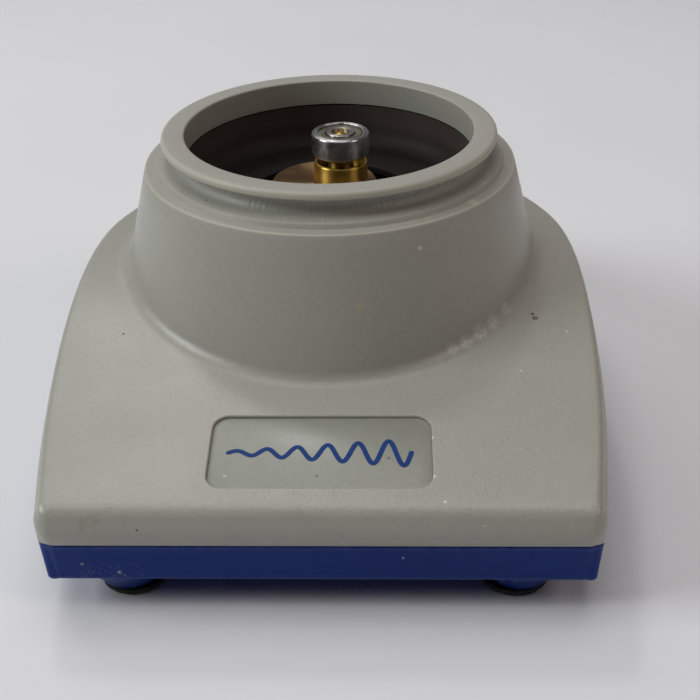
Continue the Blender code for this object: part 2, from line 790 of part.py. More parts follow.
def bearing():
    """A shielded ball bearing on the eccentric pin."""
    low, high = BEARING_TOP - BEARING_WIDTH, BEARING_TOP
    middle = (low + high) / 2
    where = on_spindle(ECCENTRICITY, 0)
    chamfer = 0.35 * MM
    land = 5.85 * MM
    race = 5.35 * MM
    step = 0.75 * MM
    groove = 0.75 * MM
    outer_ring = [
        (BEARING_OUTER - chamfer, high),
        (BEARING_OUTER, high - chamfer),
        (BEARING_OUTER, low + chamfer),
        (BEARING_OUTER - chamfer, low),
        (land, low),
        (land, low + step),
        (race - 0.2 * MM, low + step),
        (race - 0.2 * MM, middle - groove),
        (race, middle - groove * 0.4),
        (race, middle + groove * 0.4),
        (race - 0.2 * MM, middle + groove),
        (race - 0.2 * MM, high - step),
        (land, high - step),
        (land, high),
    ]
    place(lathe("bearing_outer_ring", outer_ring, 28, closed=True), BEARING_STEEL, where)
    shoulder = 3.15 * MM
    inner_ring = [
        (shoulder - 0.15 * MM, high),
        (shoulder, high - 0.15 * MM),
        (shoulder, middle + groove),
        (shoulder - 0.15 * MM, middle + groove * 0.4),
        (shoulder - 0.15 * MM, middle - groove * 0.4),
        (shoulder, middle - groove),
        (shoulder, low + 0.15 * MM),
        (shoulder - 0.15 * MM, low),
        (BEARING_BORE + 0.25 * MM, low),
        (BEARING_BORE, low + 0.25 * MM),
        (BEARING_BORE, high - 0.25 * MM),
        (BEARING_BORE + 0.25 * MM, high),
    ]
    place(lathe("bearing_inner_ring", inner_ring, 24, closed=True), BEARING_STEEL, where)
    for name, outside in (("top", high - step + 0.1 * MM), ("bottom", low + step - 0.1 * MM - 0.3 * MM)):
        shield = tube(f"bearing_shield_{name}", land - 0.15 * MM, shoulder + 0.25 * MM, outside, outside + 0.3 * MM, 24)
        place(shield, BEARING_STEEL, where)
    snap_ring("bearing_snap_ring_top", high - 0.3 * MM, where)
    snap_ring("bearing_snap_ring_bottom", low + 0.04 * MM, where)
    cage = lathe("bearing_ball_cage", cage_profile(middle), 21, closed=True)
    for number in range(BALL_COUNT):
        x, y = polar(BALL_PITCH, 360 * number / BALL_COUNT)
        made = bmesh.new()
        bmesh.ops.create_uvsphere(made, u_segments=6, v_segments=4, radius=BALL_RADIUS)
        ball = as_cutter(mesh_object(f"ball_{number}", made, CUTTERS))
        join(cage, ball, where + Vector((x, y, middle)))
    place(cage, BEARING_STEEL, where)


def cage_profile(middle):
    thin, half = 0.3 * MM, 0.5 * MM
    return [
        (BALL_PITCH + thin, middle + half),
        (BALL_PITCH + thin, middle - half),
        (BALL_PITCH - thin, middle - half),
        (BALL_PITCH - thin, middle + half),
    ]


def snap_ring(name, low, where):
    """A spring wire ring that holds a shield, open by a small gap at the back."""
    outer, inner, thick = 5.7 * MM, 5.3 * MM, 0.26 * MM
    opening = 8
    columns = []
    for step in range(21):
        angle = 90 + opening + (360 - 2 * opening) * step / 20
        spots = ((outer, low), (outer, low + thick), (inner, low + thick), (inner, low))
        columns.append([Vector((*polar(radius, angle), z)) for radius, z in spots])
    made = bmesh.new()
    grid = [[made.verts.new(spot) for spot in column] for column in columns]
    for first, second in zip(grid, grid[1:]):
        for j in range(4):
            k = (j + 1) % 4
            made.faces.new((first[j], first[k], second[k], second[j]))
    made.faces.new(grid[0])
    made.faces.new(grid[-1])
    return place(mesh_object(name, made), ZINC_STEEL, where)


# ---------------------------------------------------------------- motor and carriage


def motor():
    where = on_spindle(0, 0)
    top = CARRIAGE_TOP - CARRIAGE_THICKNESS - GAP
    nose = MOTOR_NOSE_RADIUS
    can = [
        (nose, top + 1.6 * MM),
        (nose, top),
        (MOTOR_RADIUS - 0.8 * MM, top),
        (MOTOR_RADIUS, top - 0.8 * MM),
        (MOTOR_RADIUS, MOTOR_BOTTOM + 1.2 * MM),
        (MOTOR_RADIUS - MOTOR_WALL, MOTOR_BOTTOM + 1.2 * MM),
        (MOTOR_RADIUS - MOTOR_WALL, top - MOTOR_WALL),
        (nose - 0.8 * MM, top - MOTOR_WALL),
        (nose - 0.8 * MM, top + 1.6 * MM),
    ]
    body = lathe("motor_can", can, 24, closed=True)
    for side in (-1, 1):
        hole = cutter_cylinder(f"motor_tap_{side}", 1.35 * MM, top - 3 * MM, top + 3 * MM, 10)
        cut(body, hole, on_spindle(side * MOTOR_SCREW_CIRCLE, 0))
    place(body, ZINC_STEEL, where)
    bush = [
        (nose - 0.8 * MM - GAP / 2, top + 1.9 * MM),
        (nose - 0.8 * MM - GAP / 2, top - 1.5 * MM),
        (SHAFT_RADIUS + RUN_GAP, top - 1.5 * MM),
        (SHAFT_RADIUS + RUN_GAP, top + 1.9 * MM),
    ]
    place(lathe("motor_bush", bush, 16, closed=True), BRASS, where)
    reach = MOTOR_RADIUS - MOTOR_WALL - GAP
    cap = [
        (reach, MOTOR_BOTTOM + 3.2 * MM),
        (reach, MOTOR_BOTTOM + 0.9 * MM),
        (MOTOR_RADIUS, MOTOR_BOTTOM + 0.9 * MM),
        (MOTOR_RADIUS - 0.5 * MM, MOTOR_BOTTOM),
        (SHAFT_RADIUS + RUN_GAP, MOTOR_BOTTOM),
        (SHAFT_RADIUS + RUN_GAP, MOTOR_BOTTOM + 3.2 * MM),
    ]
    end_cap = lathe("motor_end_cap", cap, 24, closed=True)
    for side in (-1, 1):
        slot = cutter_box(
            f"terminal_slot_{side}", (3.2 * MM, 1.1 * MM, 12 * MM),
            on_spindle(side * TERMINAL_X, 0, MOTOR_BOTTOM),
        )
        cut(end_cap, slot)
    place(end_cap, BLACK_PLASTIC, where)
    for name, side in (("left", -1), ("right", 1)):
        made = bmesh.new()
        size = (2.6 * MM, 0.5 * MM, 5.2 * MM)
        bmesh.ops.create_cube(made, size=1, matrix=Matrix.Diagonal((*size, 1)))
        blade = mesh_object(f"motor_terminal_{name}", made)
        place(blade, COPPER, on_spindle(side * TERMINAL_X, 0, MOTOR_BOTTOM + 1.2 * MM))
    shaft = [
        (0, SHAFT_TOP),
        (SHAFT_RADIUS - 0.3 * MM, SHAFT_TOP),
        (SHAFT_RADIUS, SHAFT_TOP - 0.3 * MM),
        (SHAFT_RADIUS, MOTOR_BOTTOM + 0.5 * MM),
        (0, MOTOR_BOTTOM + 0.5 * MM),
    ]
    place(lathe("motor_shaft", shaft, 16), ZINC_STEEL, where)
    armature()
    for name, start in (("front", 205), ("back", 25)):
        magnet(f"motor_magnet_{name}", start)


def armature():
    """The laminated three-pole rotor, a stack with slots down its length."""
    outer = 8.6 * MM
    low, high = MOTOR_BOTTOM + 7 * MM, CARRIAGE_TOP - 9 * MM
    rotor = tube("motor_armature", outer, SHAFT_RADIUS + RUN_GAP, low, high, 27)
    for number in range(3):
        angle = math.radians(60 + 120 * number)
        x, y = math.cos(angle) * outer, math.sin(angle) * outer
        slot = cutter_box(
            f"rotor_slot_{number}", (8 * MM, 2 * MM, 60 * MM), on_spindle(x, y, (low + high) / 2),
            Matrix.Rotation(angle, 4, "Z"),
        )
        cut(rotor, slot)
    return place(rotor, COPPER, on_spindle(0, 0))


def magnet(name, start):
    """A curved magnet against the can's wall."""
    outer = MOTOR_RADIUS - MOTOR_WALL - GAP
    inner = outer - 2.6 * MM
    low, high = MOTOR_BOTTOM + 6 * MM, CARRIAGE_TOP - 8 * MM
    made = bmesh.new()
    grid = []
    for step in range(11):
        angle = start + 130 * step / 10
        spots = ((outer, low), (outer, high), (inner, high), (inner, low))
        grid.append([made.verts.new((*polar(radius, angle), z)) for radius, z in spots])
    for first, second in zip(grid, grid[1:]):
        for j in range(4):
            k = (j + 1) % 4
            made.faces.new((first[j], first[k], second[k], second[j]))
    made.faces.new(grid[0])
    made.faces.new(grid[-1])
    return place(mesh_object(name, made), MAGNET, on_spindle(0, 0))


def motor_carriage():
    """The sprung plate that carries the motor, with a tab that works the switch."""
    low, high = CARRIAGE_TOP - CARRIAGE_THICKNESS, CARRIAGE_TOP
    plate = tube("motor_carriage", CARRIAGE_RADIUS, MOTOR_NOSE_RADIUS + GAP, low, high, 32, 0.4 * MM)
    for number, angle in enumerate(POST_ANGLES):
        x, y = polar(POST_CIRCLE, angle)
        hole = cutter_cylinder(f"guide_hole_{number}", SHANK_RADIUS + GAP, low - MM, high + MM, 14)
        cut(plate, hole, on_spindle(x, y))
    for side in (-1, 1):
        hole = cutter_cylinder(f"motor_hole_{side}", 1.6 * MM, low - MM, high + MM, 12)
        cut(plate, hole, on_spindle(side * MOTOR_SCREW_CIRCLE, 0))
    tab_top, tab_bottom = low + MM, SWITCH_TOP + GAP
    tab = cutter_box(
        "switch_tab", (4.5 * MM, 4.5 * MM, tab_top - tab_bottom),
        on_spindle(0, SWITCH_Y, (tab_top + tab_bottom) / 2),
    )
    join(plate, tab)
    return place(plate, BLACK_STEEL, on_spindle(0, 0))


def motor_screws():
    spots = [on_spindle(side * MOTOR_SCREW_CIRCLE, 0, CARRIAGE_TOP + GAP) for side in (-1, 1)]
    fixed_copies(
        lambda: pan_screw("motor_screw_master", 2.4 * MM, 1.1 * MM, 4.6 * MM),
        ["motor_screw_left", "motor_screw_right"], spots, ZINC_STEEL, flip=True,
    )


def guides():
    """Three guide posts with shoulder screws and return springs under the carriage."""
    floor = BASE_BOTTOM + WALL + GAP
    under_plate = CARRIAGE_TOP - CARRIAGE_THICKNESS - GAP
    spots = [on_spindle(*polar(POST_CIRCLE, angle)) for angle in POST_ANGLES]
    for number, spot in enumerate(spots, 1):
        post = tube(f"guide_post_{number}", GUIDE_RADIUS, SHANK_RADIUS + 0.2 * MM, floor, GUIDE_TOP, 16, 0.4 * MM)
        place(post, ZINC_STEEL, spot)
        coil(f"return_spring_{number}", spot, GUIDE_TOP + GAP, under_plate)
    fixed_copies(
        lambda: pan_screw("guide_screw_master", 3.8 * MM, SHANK_RADIUS, 21 * MM),
        [f"guide_screw_{number}" for number in (1, 2, 3)],
        [spot + Vector((0, 0, CARRIAGE_TOP + GAP)) for spot in spots], ZINC_STEEL, flip=True,
    )


def coil(name, spot, low, high):
    """A compression spring: a helix of wire between two heights."""
    per_turn = 9
    count = SPRING_TURNS * per_turn
    start, end = low + SPRING_WIRE, high - SPRING_WIRE
    points = []
    for step in range(count + 1):
        x, y = polar(SPRING_RADIUS, 360 * step / per_turn)
        points.append((x, y, start + (end - start) * step / count))
    return place(wire_curve(name, points, SPRING_WIRE, 0), ZINC_STEEL, spot)


def wire_curve(name, points, radius, resolution=2):
    """A round wire along the given points."""
    data = bpy.data.curves.new(name, "CURVE")
    data.dimensions = "3D"
    data.bevel_depth = radius
    data.bevel_resolution = resolution
    data.use_fill_caps = True
    spline = data.splines.new("POLY")
    spline.points.add(len(points) - 1)
    for target, spot in zip(spline.points, points):
        target.co = (*spot, 1)
    obj = bpy.data.objects.new(name, data)
    PARTS.objects.link(obj)
    return obj


def smooth_route(knots, per_span=3):
    """Points along a Catmull-Rom curve through the knots."""
    knots = [Vector(knot) for knot in knots]
    ends = [2 * knots[0] - knots[1], *knots, 2 * knots[-1] - knots[-2]]
    points = []
    for a, b, c, d in zip(ends, ends[1:], ends[2:], ends[3:]):
        for step in range(per_span):
            t = step / per_span
            points.append(
                0.5 * (2 * b + (c - a) * t + (2 * a - 5 * b + 4 * c - d) * t**2 + (3 * b - a - 3 * c + d) * t**3)
            )
    return points + [knots[-1]]


# ---------------------------------------------------------------- switch, jack, wiring, ballast


def rounded_block(name, size, width, segments, mat, where):
    made = bmesh.new()
    bmesh.ops.create_cube(made, size=1, matrix=Matrix.Diagonal((*size, 1)))
    obj = mesh_object(name, made)
    edge = obj.modifiers.new("Edges", "BEVEL")
    edge.width = width
    edge.segments = segments
    return place(obj, mat, where)


def touch_switch():
    """A miniature snap-action switch, its plunger just under the carriage's tab."""
    top = SWITCH_TOP - PLUNGER_RISE
    seat = top - SWITCH_SIZE[2]
    where = on_spindle(0, SWITCH_Y)
    body = rounded_block(
        "touch_switch_body", SWITCH_SIZE, 0.3 * MM, 1, BLACK_PLASTIC,
        where + Vector((0, 0, top - SWITCH_SIZE[2] / 2)),
    )
    cut(body, cutter_box("plunger_well", (2.9 * MM, 1.9 * MM, 4 * MM), where + Vector((0, 0, top))))
    for side in (-1, 1):
        hole = cutter_cylinder(f"switch_hole_{side}", 0.9 * MM, -5 * MM, 5 * MM, 12)
        spot = where + Vector((side * 4.2 * MM, 0, seat + 1.6 * MM))
        hole.matrix_world = Matrix.Translation(spot) @ Matrix.Rotation(math.pi / 2, 4, "X")
        combine(body, hole, "DIFFERENCE")
    size = (2.2 * MM, 1.3 * MM, 2.2 * MM)
    spot = where + Vector((0, 0, SWITCH_TOP - size[2] / 2))
    rounded_block("touch_switch_plunger", size, 0.25 * MM, 2, RED_WIRE, spot)
    switch_bracket(where, seat)


def switch_bracket(where, seat):
    """A folded bracket: a foot on the base, an upright behind the switch and a shelf under it."""
    floor = BASE_BOTTOM + WALL + GAP
    wide, depth = SWITCH_SIZE[0] - 0.8 * MM, SWITCH_SIZE[1]
    behind = depth / 2 + GAP + SHEET / 2
    top = seat + 5 * MM
    made = bmesh.new()
    upright = Matrix.Translation((0, behind, (floor + top) / 2)) @ Matrix.Diagonal((wide, SHEET, top - floor, 1))
    bmesh.ops.create_cube(made, size=1, matrix=upright)
    obj = mesh_object("switch_bracket", made)
    foot = Vector((0, behind - 4 * MM, floor + SHEET / 2))
    join(obj, cutter_box("bracket_foot", (wide, 9 * MM, SHEET), where + foot))
    shelf = Vector((0, SHEET / 2 - 0.2 * MM, seat - GAP - SHEET / 2))
    join(obj, cutter_box("bracket_shelf", (wide, depth + SHEET, SHEET), where + shelf))
    hole = cutter_cylinder("bracket_hole", 1.6 * MM, 0, floor + 4 * MM, 16)
    cut(obj, hole, where)
    place(obj, ZINC_STEEL, where)


def jack_matrix():
    """The jack's own frame: its bezel seats at z = 0, and +Z points out of the back."""
    spot = on_spindle(0, JACK_SEAT_Y, JACK_Z)
    return Matrix.Translation(spot) @ Matrix.Rotation(-math.pi / 2, 4, "X")


def power_jack():
    """A panel-mounted barrel jack: bezel, threaded barrel, contact pin and hexagon nut."""
    barrel = [
        (0, -9.5 * MM),
        (2.8 * MM, -9.5 * MM),
        (2.8 * MM, 1.2 * MM),
        (3.1 * MM, 1.5 * MM),
        (JACK_BEZEL - 0.4 * MM, 1.5 * MM),
        (JACK_BEZEL, 1.1 * MM),
        (JACK_BEZEL, 0),
        (JACK_THREAD, 0),
        (JACK_THREAD, -9 * MM),
        (JACK_THREAD - 0.6 * MM, -JACK_LENGTH),
        (0, -JACK_LENGTH),
    ]
    body = lathe("power_jack_body", barrel, 22)
    body.matrix_world = jack_matrix()
    body.data.materials.append(BLACK_PLASTIC)
    pin = [
        (0, -0.6 * MM),
        (0.6 * MM, -0.6 * MM),
        (1.0 * MM, -1.1 * MM),
        (1.0 * MM, -9.2 * MM),
        (0, -9.2 * MM),
    ]
    contact = lathe("power_jack_pin", pin, 12)
    contact.matrix_world = jack_matrix()
    contact.data.materials.append(BRASS)
    made = bmesh.new()
    bmesh.ops.create_cone(
        made, cap_ends=True, segments=6, radius1=5.6 * MM, radius2=5.6 * MM, depth=2.2 * MM,
        matrix=Matrix.Translation((0, 0, JACK_NUT_Z)),
    )
    nut = mesh_object("power_jack_nut", made)
    nut.matrix_world = jack_matrix()
    nut.data.materials.append(ZINC_STEEL)
    way = cutter_cylinder("nut_bore", JACK_THREAD + 0.15 * MM, JACK_NUT_Z - 3 * MM, JACK_NUT_Z + 3 * MM, 22)
    way.matrix_world = jack_matrix()
    combine(nut, way, "DIFFERENCE")


def wiring():
    """Single wires from the jack to the touch switch, on to the motor, and back to the jack."""
    behind_jack = JACK_SEAT_Y - JACK_LENGTH - 2 * GAP
    switch_x = SWITCH_SIZE[0] / 2 + GAP
    switch_z = SWITCH_TOP - PLUNGER_RISE - SWITCH_SIZE[2] / 2
    terminal = TERMINAL_X + 1.7 * MM
    low = MOTOR_BOTTOM - 2.8 * MM
    routes = {
        "wire_jack_to_switch": [
            (1.5 * MM, behind_jack, JACK_Z),
            (5 * MM, 49 * MM, 21 * MM),
            (18 * MM, 33 * MM, 14.5 * MM),
            (28 * MM, 12 * MM, 12.5 * MM),
            (31 * MM, -8 * MM, 12.5 * MM),
            (26 * MM, -24 * MM, 14 * MM),
            (14 * MM, -27 * MM, 24 * MM),
            (switch_x, SWITCH_Y, switch_z),
        ],
        "wire_switch_to_motor": [
            (-switch_x, SWITCH_Y, switch_z),
            (-10.5 * MM, -26.5 * MM, 26 * MM),
            (-12 * MM, -23 * MM, 18 * MM),
            (-8 * MM, -19 * MM, 13 * MM),
            (0, -17.5 * MM, low),
            (9 * MM, -15 * MM, low),
            (14.5 * MM, -7 * MM, low),
            (14 * MM, -1 * MM, low),
            (terminal, 0, low),
        ],
        "wire_motor_to_jack": [
            (-terminal, 0, low),
            (-14 * MM, 1 * MM, low),
            (-17 * MM, 12 * MM, low),
            (-13 * MM, 33 * MM, 15 * MM),
            (-5 * MM, 49 * MM, 21 * MM),
            (-1.5 * MM, behind_jack, JACK_Z),
        ],
    }
    for name, knots in routes.items():
        points = smooth_route([on_spindle(*knot) for knot in knots])
        colour = BLACK_WIRE if name == "wire_motor_to_jack" else RED_WIRE
        place(wire_curve(name, points, WIRE_RADIUS, 1), colour)


def ballast():
    """A steel weight screwed to the floor of the base, ahead of the motor."""
    low = BASE_BOTTOM + WALL + GAP
    width, length, thickness = BALLAST_SIZE
    obj = rounded_slab("ballast_plate", width, length, 3 * MM, low, low + thickness)
    place(obj, BLACK_STEEL, on_spindle(0, BALLAST_Y))
    for side in (-1, 1):
        hole = cutter_cylinder(f"ballast_hole_{side}", 1.7 * MM, 0, 2 * low, 16)
        cut(obj, hole, on_spindle(side * BALLAST_SCREW_X, BALLAST_Y))
    seat = low + thickness + GAP
    fixed_copies(
        lambda: pan_screw("ballast_screw_master", 2.8 * MM, 1.3 * MM, seat - SCREW_TIP),
        ["ballast_screw_left", "ballast_screw_right"],
        [on_spindle(side * BALLAST_SCREW_X, BALLAST_Y, seat) for side in (-1, 1)],
        ZINC_STEEL, flip=True,
    )
    seat = low + SHEET + GAP
    fixed_copies(
        lambda: pan_screw("bracket_screw_master", 2.6 * MM, 1.3 * MM, seat - SCREW_TIP),
        ["bracket_screw"], [on_spindle(0, SWITCH_Y, seat)], ZINC_STEEL, flip=True,
    )


top_casing()
nameplate()
base_pan()
feet()
casing_screws()
well_liner()
eccentric_hub()
hub_set_screw()
bearing()
motor()
motor_carriage()
motor_screws()
guides()
touch_switch()
power_jack()
ballast()
wiring()
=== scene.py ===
"""The looks of a mini vortex mixer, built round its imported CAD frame, in metres, +Z up."""

import json
import math

import bmesh
import bpy
from mathutils import Matrix, Vector


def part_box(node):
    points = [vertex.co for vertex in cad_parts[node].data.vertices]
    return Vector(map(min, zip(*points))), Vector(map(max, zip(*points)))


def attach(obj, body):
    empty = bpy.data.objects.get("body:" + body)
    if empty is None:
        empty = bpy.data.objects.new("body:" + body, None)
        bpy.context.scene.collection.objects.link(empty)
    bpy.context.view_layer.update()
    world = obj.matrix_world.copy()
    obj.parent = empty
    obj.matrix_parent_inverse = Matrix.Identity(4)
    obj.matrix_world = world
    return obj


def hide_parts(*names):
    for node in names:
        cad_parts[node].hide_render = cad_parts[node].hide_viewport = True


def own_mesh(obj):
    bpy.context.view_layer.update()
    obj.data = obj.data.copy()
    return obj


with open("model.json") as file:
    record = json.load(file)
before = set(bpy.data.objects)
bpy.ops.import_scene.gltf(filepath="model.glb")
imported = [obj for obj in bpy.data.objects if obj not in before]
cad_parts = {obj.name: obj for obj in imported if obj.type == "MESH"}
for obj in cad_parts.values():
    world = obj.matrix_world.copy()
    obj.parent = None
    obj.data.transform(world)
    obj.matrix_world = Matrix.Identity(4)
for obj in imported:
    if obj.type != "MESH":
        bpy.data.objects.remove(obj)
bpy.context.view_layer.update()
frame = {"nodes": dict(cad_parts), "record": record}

MM = 0.001

# The casing's shape. CONE_FILLET, FRONT_EDGE_RADIUS, LIP_UNDER, NECK_RADIUS, FOOT_RADIUS, PAD_INSET and
# BOSS_RADIUS are read off the photograph again and differ a little from the CAD model's.
BODY_WIDTH = 117.4 * MM
BODY_FRONT = 83.9 * MM
BODY_BACK = 72.0 * MM
WIDEST_Y = -27.0 * MM
BACK_POWER = 2.75
FRONT_WIDTH = 107.8 * MM
CORNER_RADIUS = 3.5 * MM
SHARPEST = 0.4 * MM
SPINDLE_Y = (BODY_FRONT - BODY_BACK) / 2
BASE_BOTTOM = 8.0 * MM
SEAM = 17.6 * MM
WALL = 2.2 * MM
APRON_AT_SPINDLE = 43.5 * MM
APRON_SLOPE = 0.21
APRON_BEND_Y = -30.0 * MM
APRON_BEND_LENGTH = 50.0 * MM
APRON_BEND = 0.0035 / MM
CONE_TOP = 62.4 * MM
CONE_TOP_RADIUS = 42.0 * MM
CONE_FLARE = 0.255
CONE_FILLET = 3.9 * MM
FRONT_EDGE_RADIUS = 2.8 * MM
SIDE_EDGE_RADIUS = 1.6 * MM
TOP_INSET_SIDE = 1.0 * MM
TOP_INSET_FRONT = 0.3 * MM
SEAM_INSET_SIDE = 0.1 * MM
SEAM_INSET_FRONT = 1.1 * MM
BASE_DRAFT_SIDE = 0.55 * MM
BASE_DRAFT_FRONT = 1.1 * MM
BASE_EDGE = 1.0 * MM
WIDEST_AT = 0.35

LIP_TOP = 70.0 * MM
LIP_INNER = 32.5 * MM
LIP_OUTER = 37.75 * MM
LIP_UNDER = 68.3 * MM
NECK_RADIUS = 34.9 * MM
REBATE_RADIUS = 34.0 * MM
REBATE_Z = 63.9 * MM
SHOULDER_UNDERSIDE = 60.0 * MM
LINER_FLOOR = 53.7 * MM
LINER_HOLE = 18.8 * MM

PLATE_WIDTH = 43.2 * MM
PLATE_LENGTH = 18.7 * MM
PLATE_Y = -68.05 * MM
PLATE_CORNER = 3.2 * MM
PLATE_DEPTH = 1.3 * MM

FRONT_FOOT = (39.5 * MM, -70.3 * MM)
REAR_FOOT = (30.0 * MM, 49.5 * MM)
FOOT_RADIUS = 6.9 * MM
FOOT_HEIGHT = 1.5 * MM
PAD_INSET = 0.9 * MM
BOSS_RADIUS = 10.4 * MM
BOSS_TIP_RADIUS = 6.6 * MM

ECCENTRICITY = 2.5 * MM
DISC_RADIUS = 12.0 * MM
DISC_OFFSET = -1.45 * MM
DISC_TOP = 57.0 * MM
DISC_BOTTOM = 53.0 * MM
STEM_RADIUS = 6.1 * MM
STEM_TOP = 62.0 * MM
HUB_RADIUS = 6.0 * MM
HUB_BOTTOM = 46.8 * MM
BEARING_OUTER = 6.5 * MM
BEARING_BORE = 2.0 * MM
BEARING_TOP = 68.8 * MM
BEARING_BOTTOM = 63.8 * MM

POST_CIRCLE = 24.5 * MM

JACK_Z = 23.9 * MM
JACK_SEAT_Y = BODY_BACK - 2.1 * MM
JACK_THREAD = 3.9 * MM
JACK_BEZEL = 5.2 * MM


# ---------------------------------------------------------------- node materials


class Look:
    """A node material, built through short calls that return sockets."""

    def __init__(self, name, **shader_values):
        self.material = bpy.data.materials.new(name)
        self.material.use_nodes = True
        self.tree = self.material.node_tree
        self.shader = self.tree.nodes["Principled BSDF"]
        for key, value in shader_values.items():
            self.shader.inputs[key.replace("_", " ")].default_value = value

    def put(self, socket, value):
        if isinstance(value, bpy.types.NodeSocket):
            self.tree.links.new(value, socket)
        elif isinstance(value, tuple) and len(value) == 3 and socket.type == "RGBA":
            socket.default_value = (*value, 1)
        else:
            socket.default_value = value

    def add(self, kind, output=0, **inputs):
        node = self.tree.nodes.new(kind)
        for key, value in inputs.items():
            self.put(node.inputs[key.replace("_", " ")], value)
        return node.outputs[output]

    def place(self):
        return self.add("ShaderNodeTexCoord", "Object")

    def split(self, vector):
        node = self.tree.nodes.new("ShaderNodeSeparateXYZ")
        self.put(node.inputs[0], vector)
        return node.outputs

    def math(self, operation, *values):
        node = self.tree.nodes.new("ShaderNodeMath")
        node.operation = operation
        for socket, value in zip(node.inputs, values):
            self.put(socket, value)
        return node.outputs[0]

    def times(self, first, *others):
        for other in others:
            first = self.math("MULTIPLY", first, other)
        return first

    def span(self, value, low, high, to_low=0.0, to_high=1.0):
        """Maps low..high to to_low..to_high, clamped."""
        node = self.tree.nodes.new("ShaderNodeMapRange")
        node.clamp = True
        parts = (value, low, high, to_low, to_high)
        for key, part in zip(("Value", "From Min", "From Max", "To Min", "To Max"), parts):
            self.put(node.inputs[key], part)
        return node.outputs[0]

    def band(self, value, low, full, fading, high):
        """1 from full to fading, and 0 outside low..high."""
        return self.times(self.span(value, low, full), self.span(value, fading, high, 1, 0))

    def from_axis(self, centre_x=0.0):
        """The distance from an upright axis at centre_x, level with the spindle."""
        x, y, _ = self.split(self.place())
        across = self.math("SUBTRACT", x, centre_x)
        along = self.math("SUBTRACT", y, SPINDLE_Y)
        return self.math("SQRT", self.math("ADD", self.times(across, across), self.times(along, along)))

    def noise(self, scale, detail=2.0, roughness=0.5, distortion=0.0):
        return self.add(
            "ShaderNodeTexNoise", Vector=self.place(), Scale=scale, Detail=detail, Roughness=roughness,
            Distortion=distortion,
        )

    def stretched_noise(self, scale, detail, rotation=(0.0, 0.0, 0.0)):
        turned_place = self.add("ShaderNodeMapping", Vector=self.place(), Rotation=rotation, Scale=scale)
        return self.add("ShaderNodeTexNoise", Vector=turned_place, Scale=1.0, Detail=detail)

    def cells(self, scale):
        return self.add("ShaderNodeTexVoronoi", "Distance", Vector=self.place(), Scale=scale)

    def uneven(self, scale, low, high, detail=2):
        """A value that drifts between low and high over the surface."""
        return self.span(self.noise(scale, detail), 0.3, 0.7, low, high)

    def mix(self, share, first, second):
        node = self.tree.nodes.new("ShaderNodeMix")
        node.data_type = "RGBA"
        for index, value in ((0, share), (6, first), (7, second)):
            self.put(node.inputs[index], value)
        return node.outputs[2]

    def mottle(self, first, second, scale, detail=3, roughness=0.5, low=0.35, high=0.65):
        return self.mix(self.span(self.noise(scale, detail, roughness), low, high), first, second)

    def stain(self, colour, where, share, tint):
        return self.mix(self.times(where, share), colour, tint)

    def bump(self, height, distance, strength, normal=None):
        node = self.tree.nodes.new("ShaderNodeBump")
        for key, value in (("Height", height), ("Distance", distance), ("Strength", strength)):
            self.put(node.inputs[key], value)
        if normal:
            self.put(node.inputs["Normal"], normal)
        return node.outputs[0]

    def near(self, point, reach):
        """1 close to a point, fading to 0 over the last part of its reach."""
        gap = self.tree.nodes.new("ShaderNodeVectorMath")
        gap.operation = "DISTANCE"
        self.put(gap.inputs[0], self.place())
        self.put(gap.inputs[1], tuple(point))
        return self.span(gap.outputs["Value"], reach * SPOT_CORE, reach, 1.0, 0.0)

    def spread(self, spots, raggedness):
        """1 in any of the spots, each with a ragged outline."""
        broken = self.span(self.noise(raggedness, 2), 0.4, 0.5)
        whole = 0.0
        for point, reach in spots:
            whole = self.math("MAXIMUM", whole, self.near(Vector(point) * MM, reach * MM))
        return self.times(whole, broken)

    def spots(self, colour, spots, raggedness, tint, share):
        return self.stain(colour, self.spread(spots, raggedness), share, tint)

    def finish(self, **links):
        for key, value in links.items():
            self.put(self.shader.inputs[key.replace("_", " ")], value)
        return self.material


def edge_wear_and_sheen(look, low=0.515, high=0.56):
    # Convex edges by pointiness, lightened both for wear and as a painted highlight
    return look.span(look.add("ShaderNodeNewGeometry", "Pointiness"), low, high)


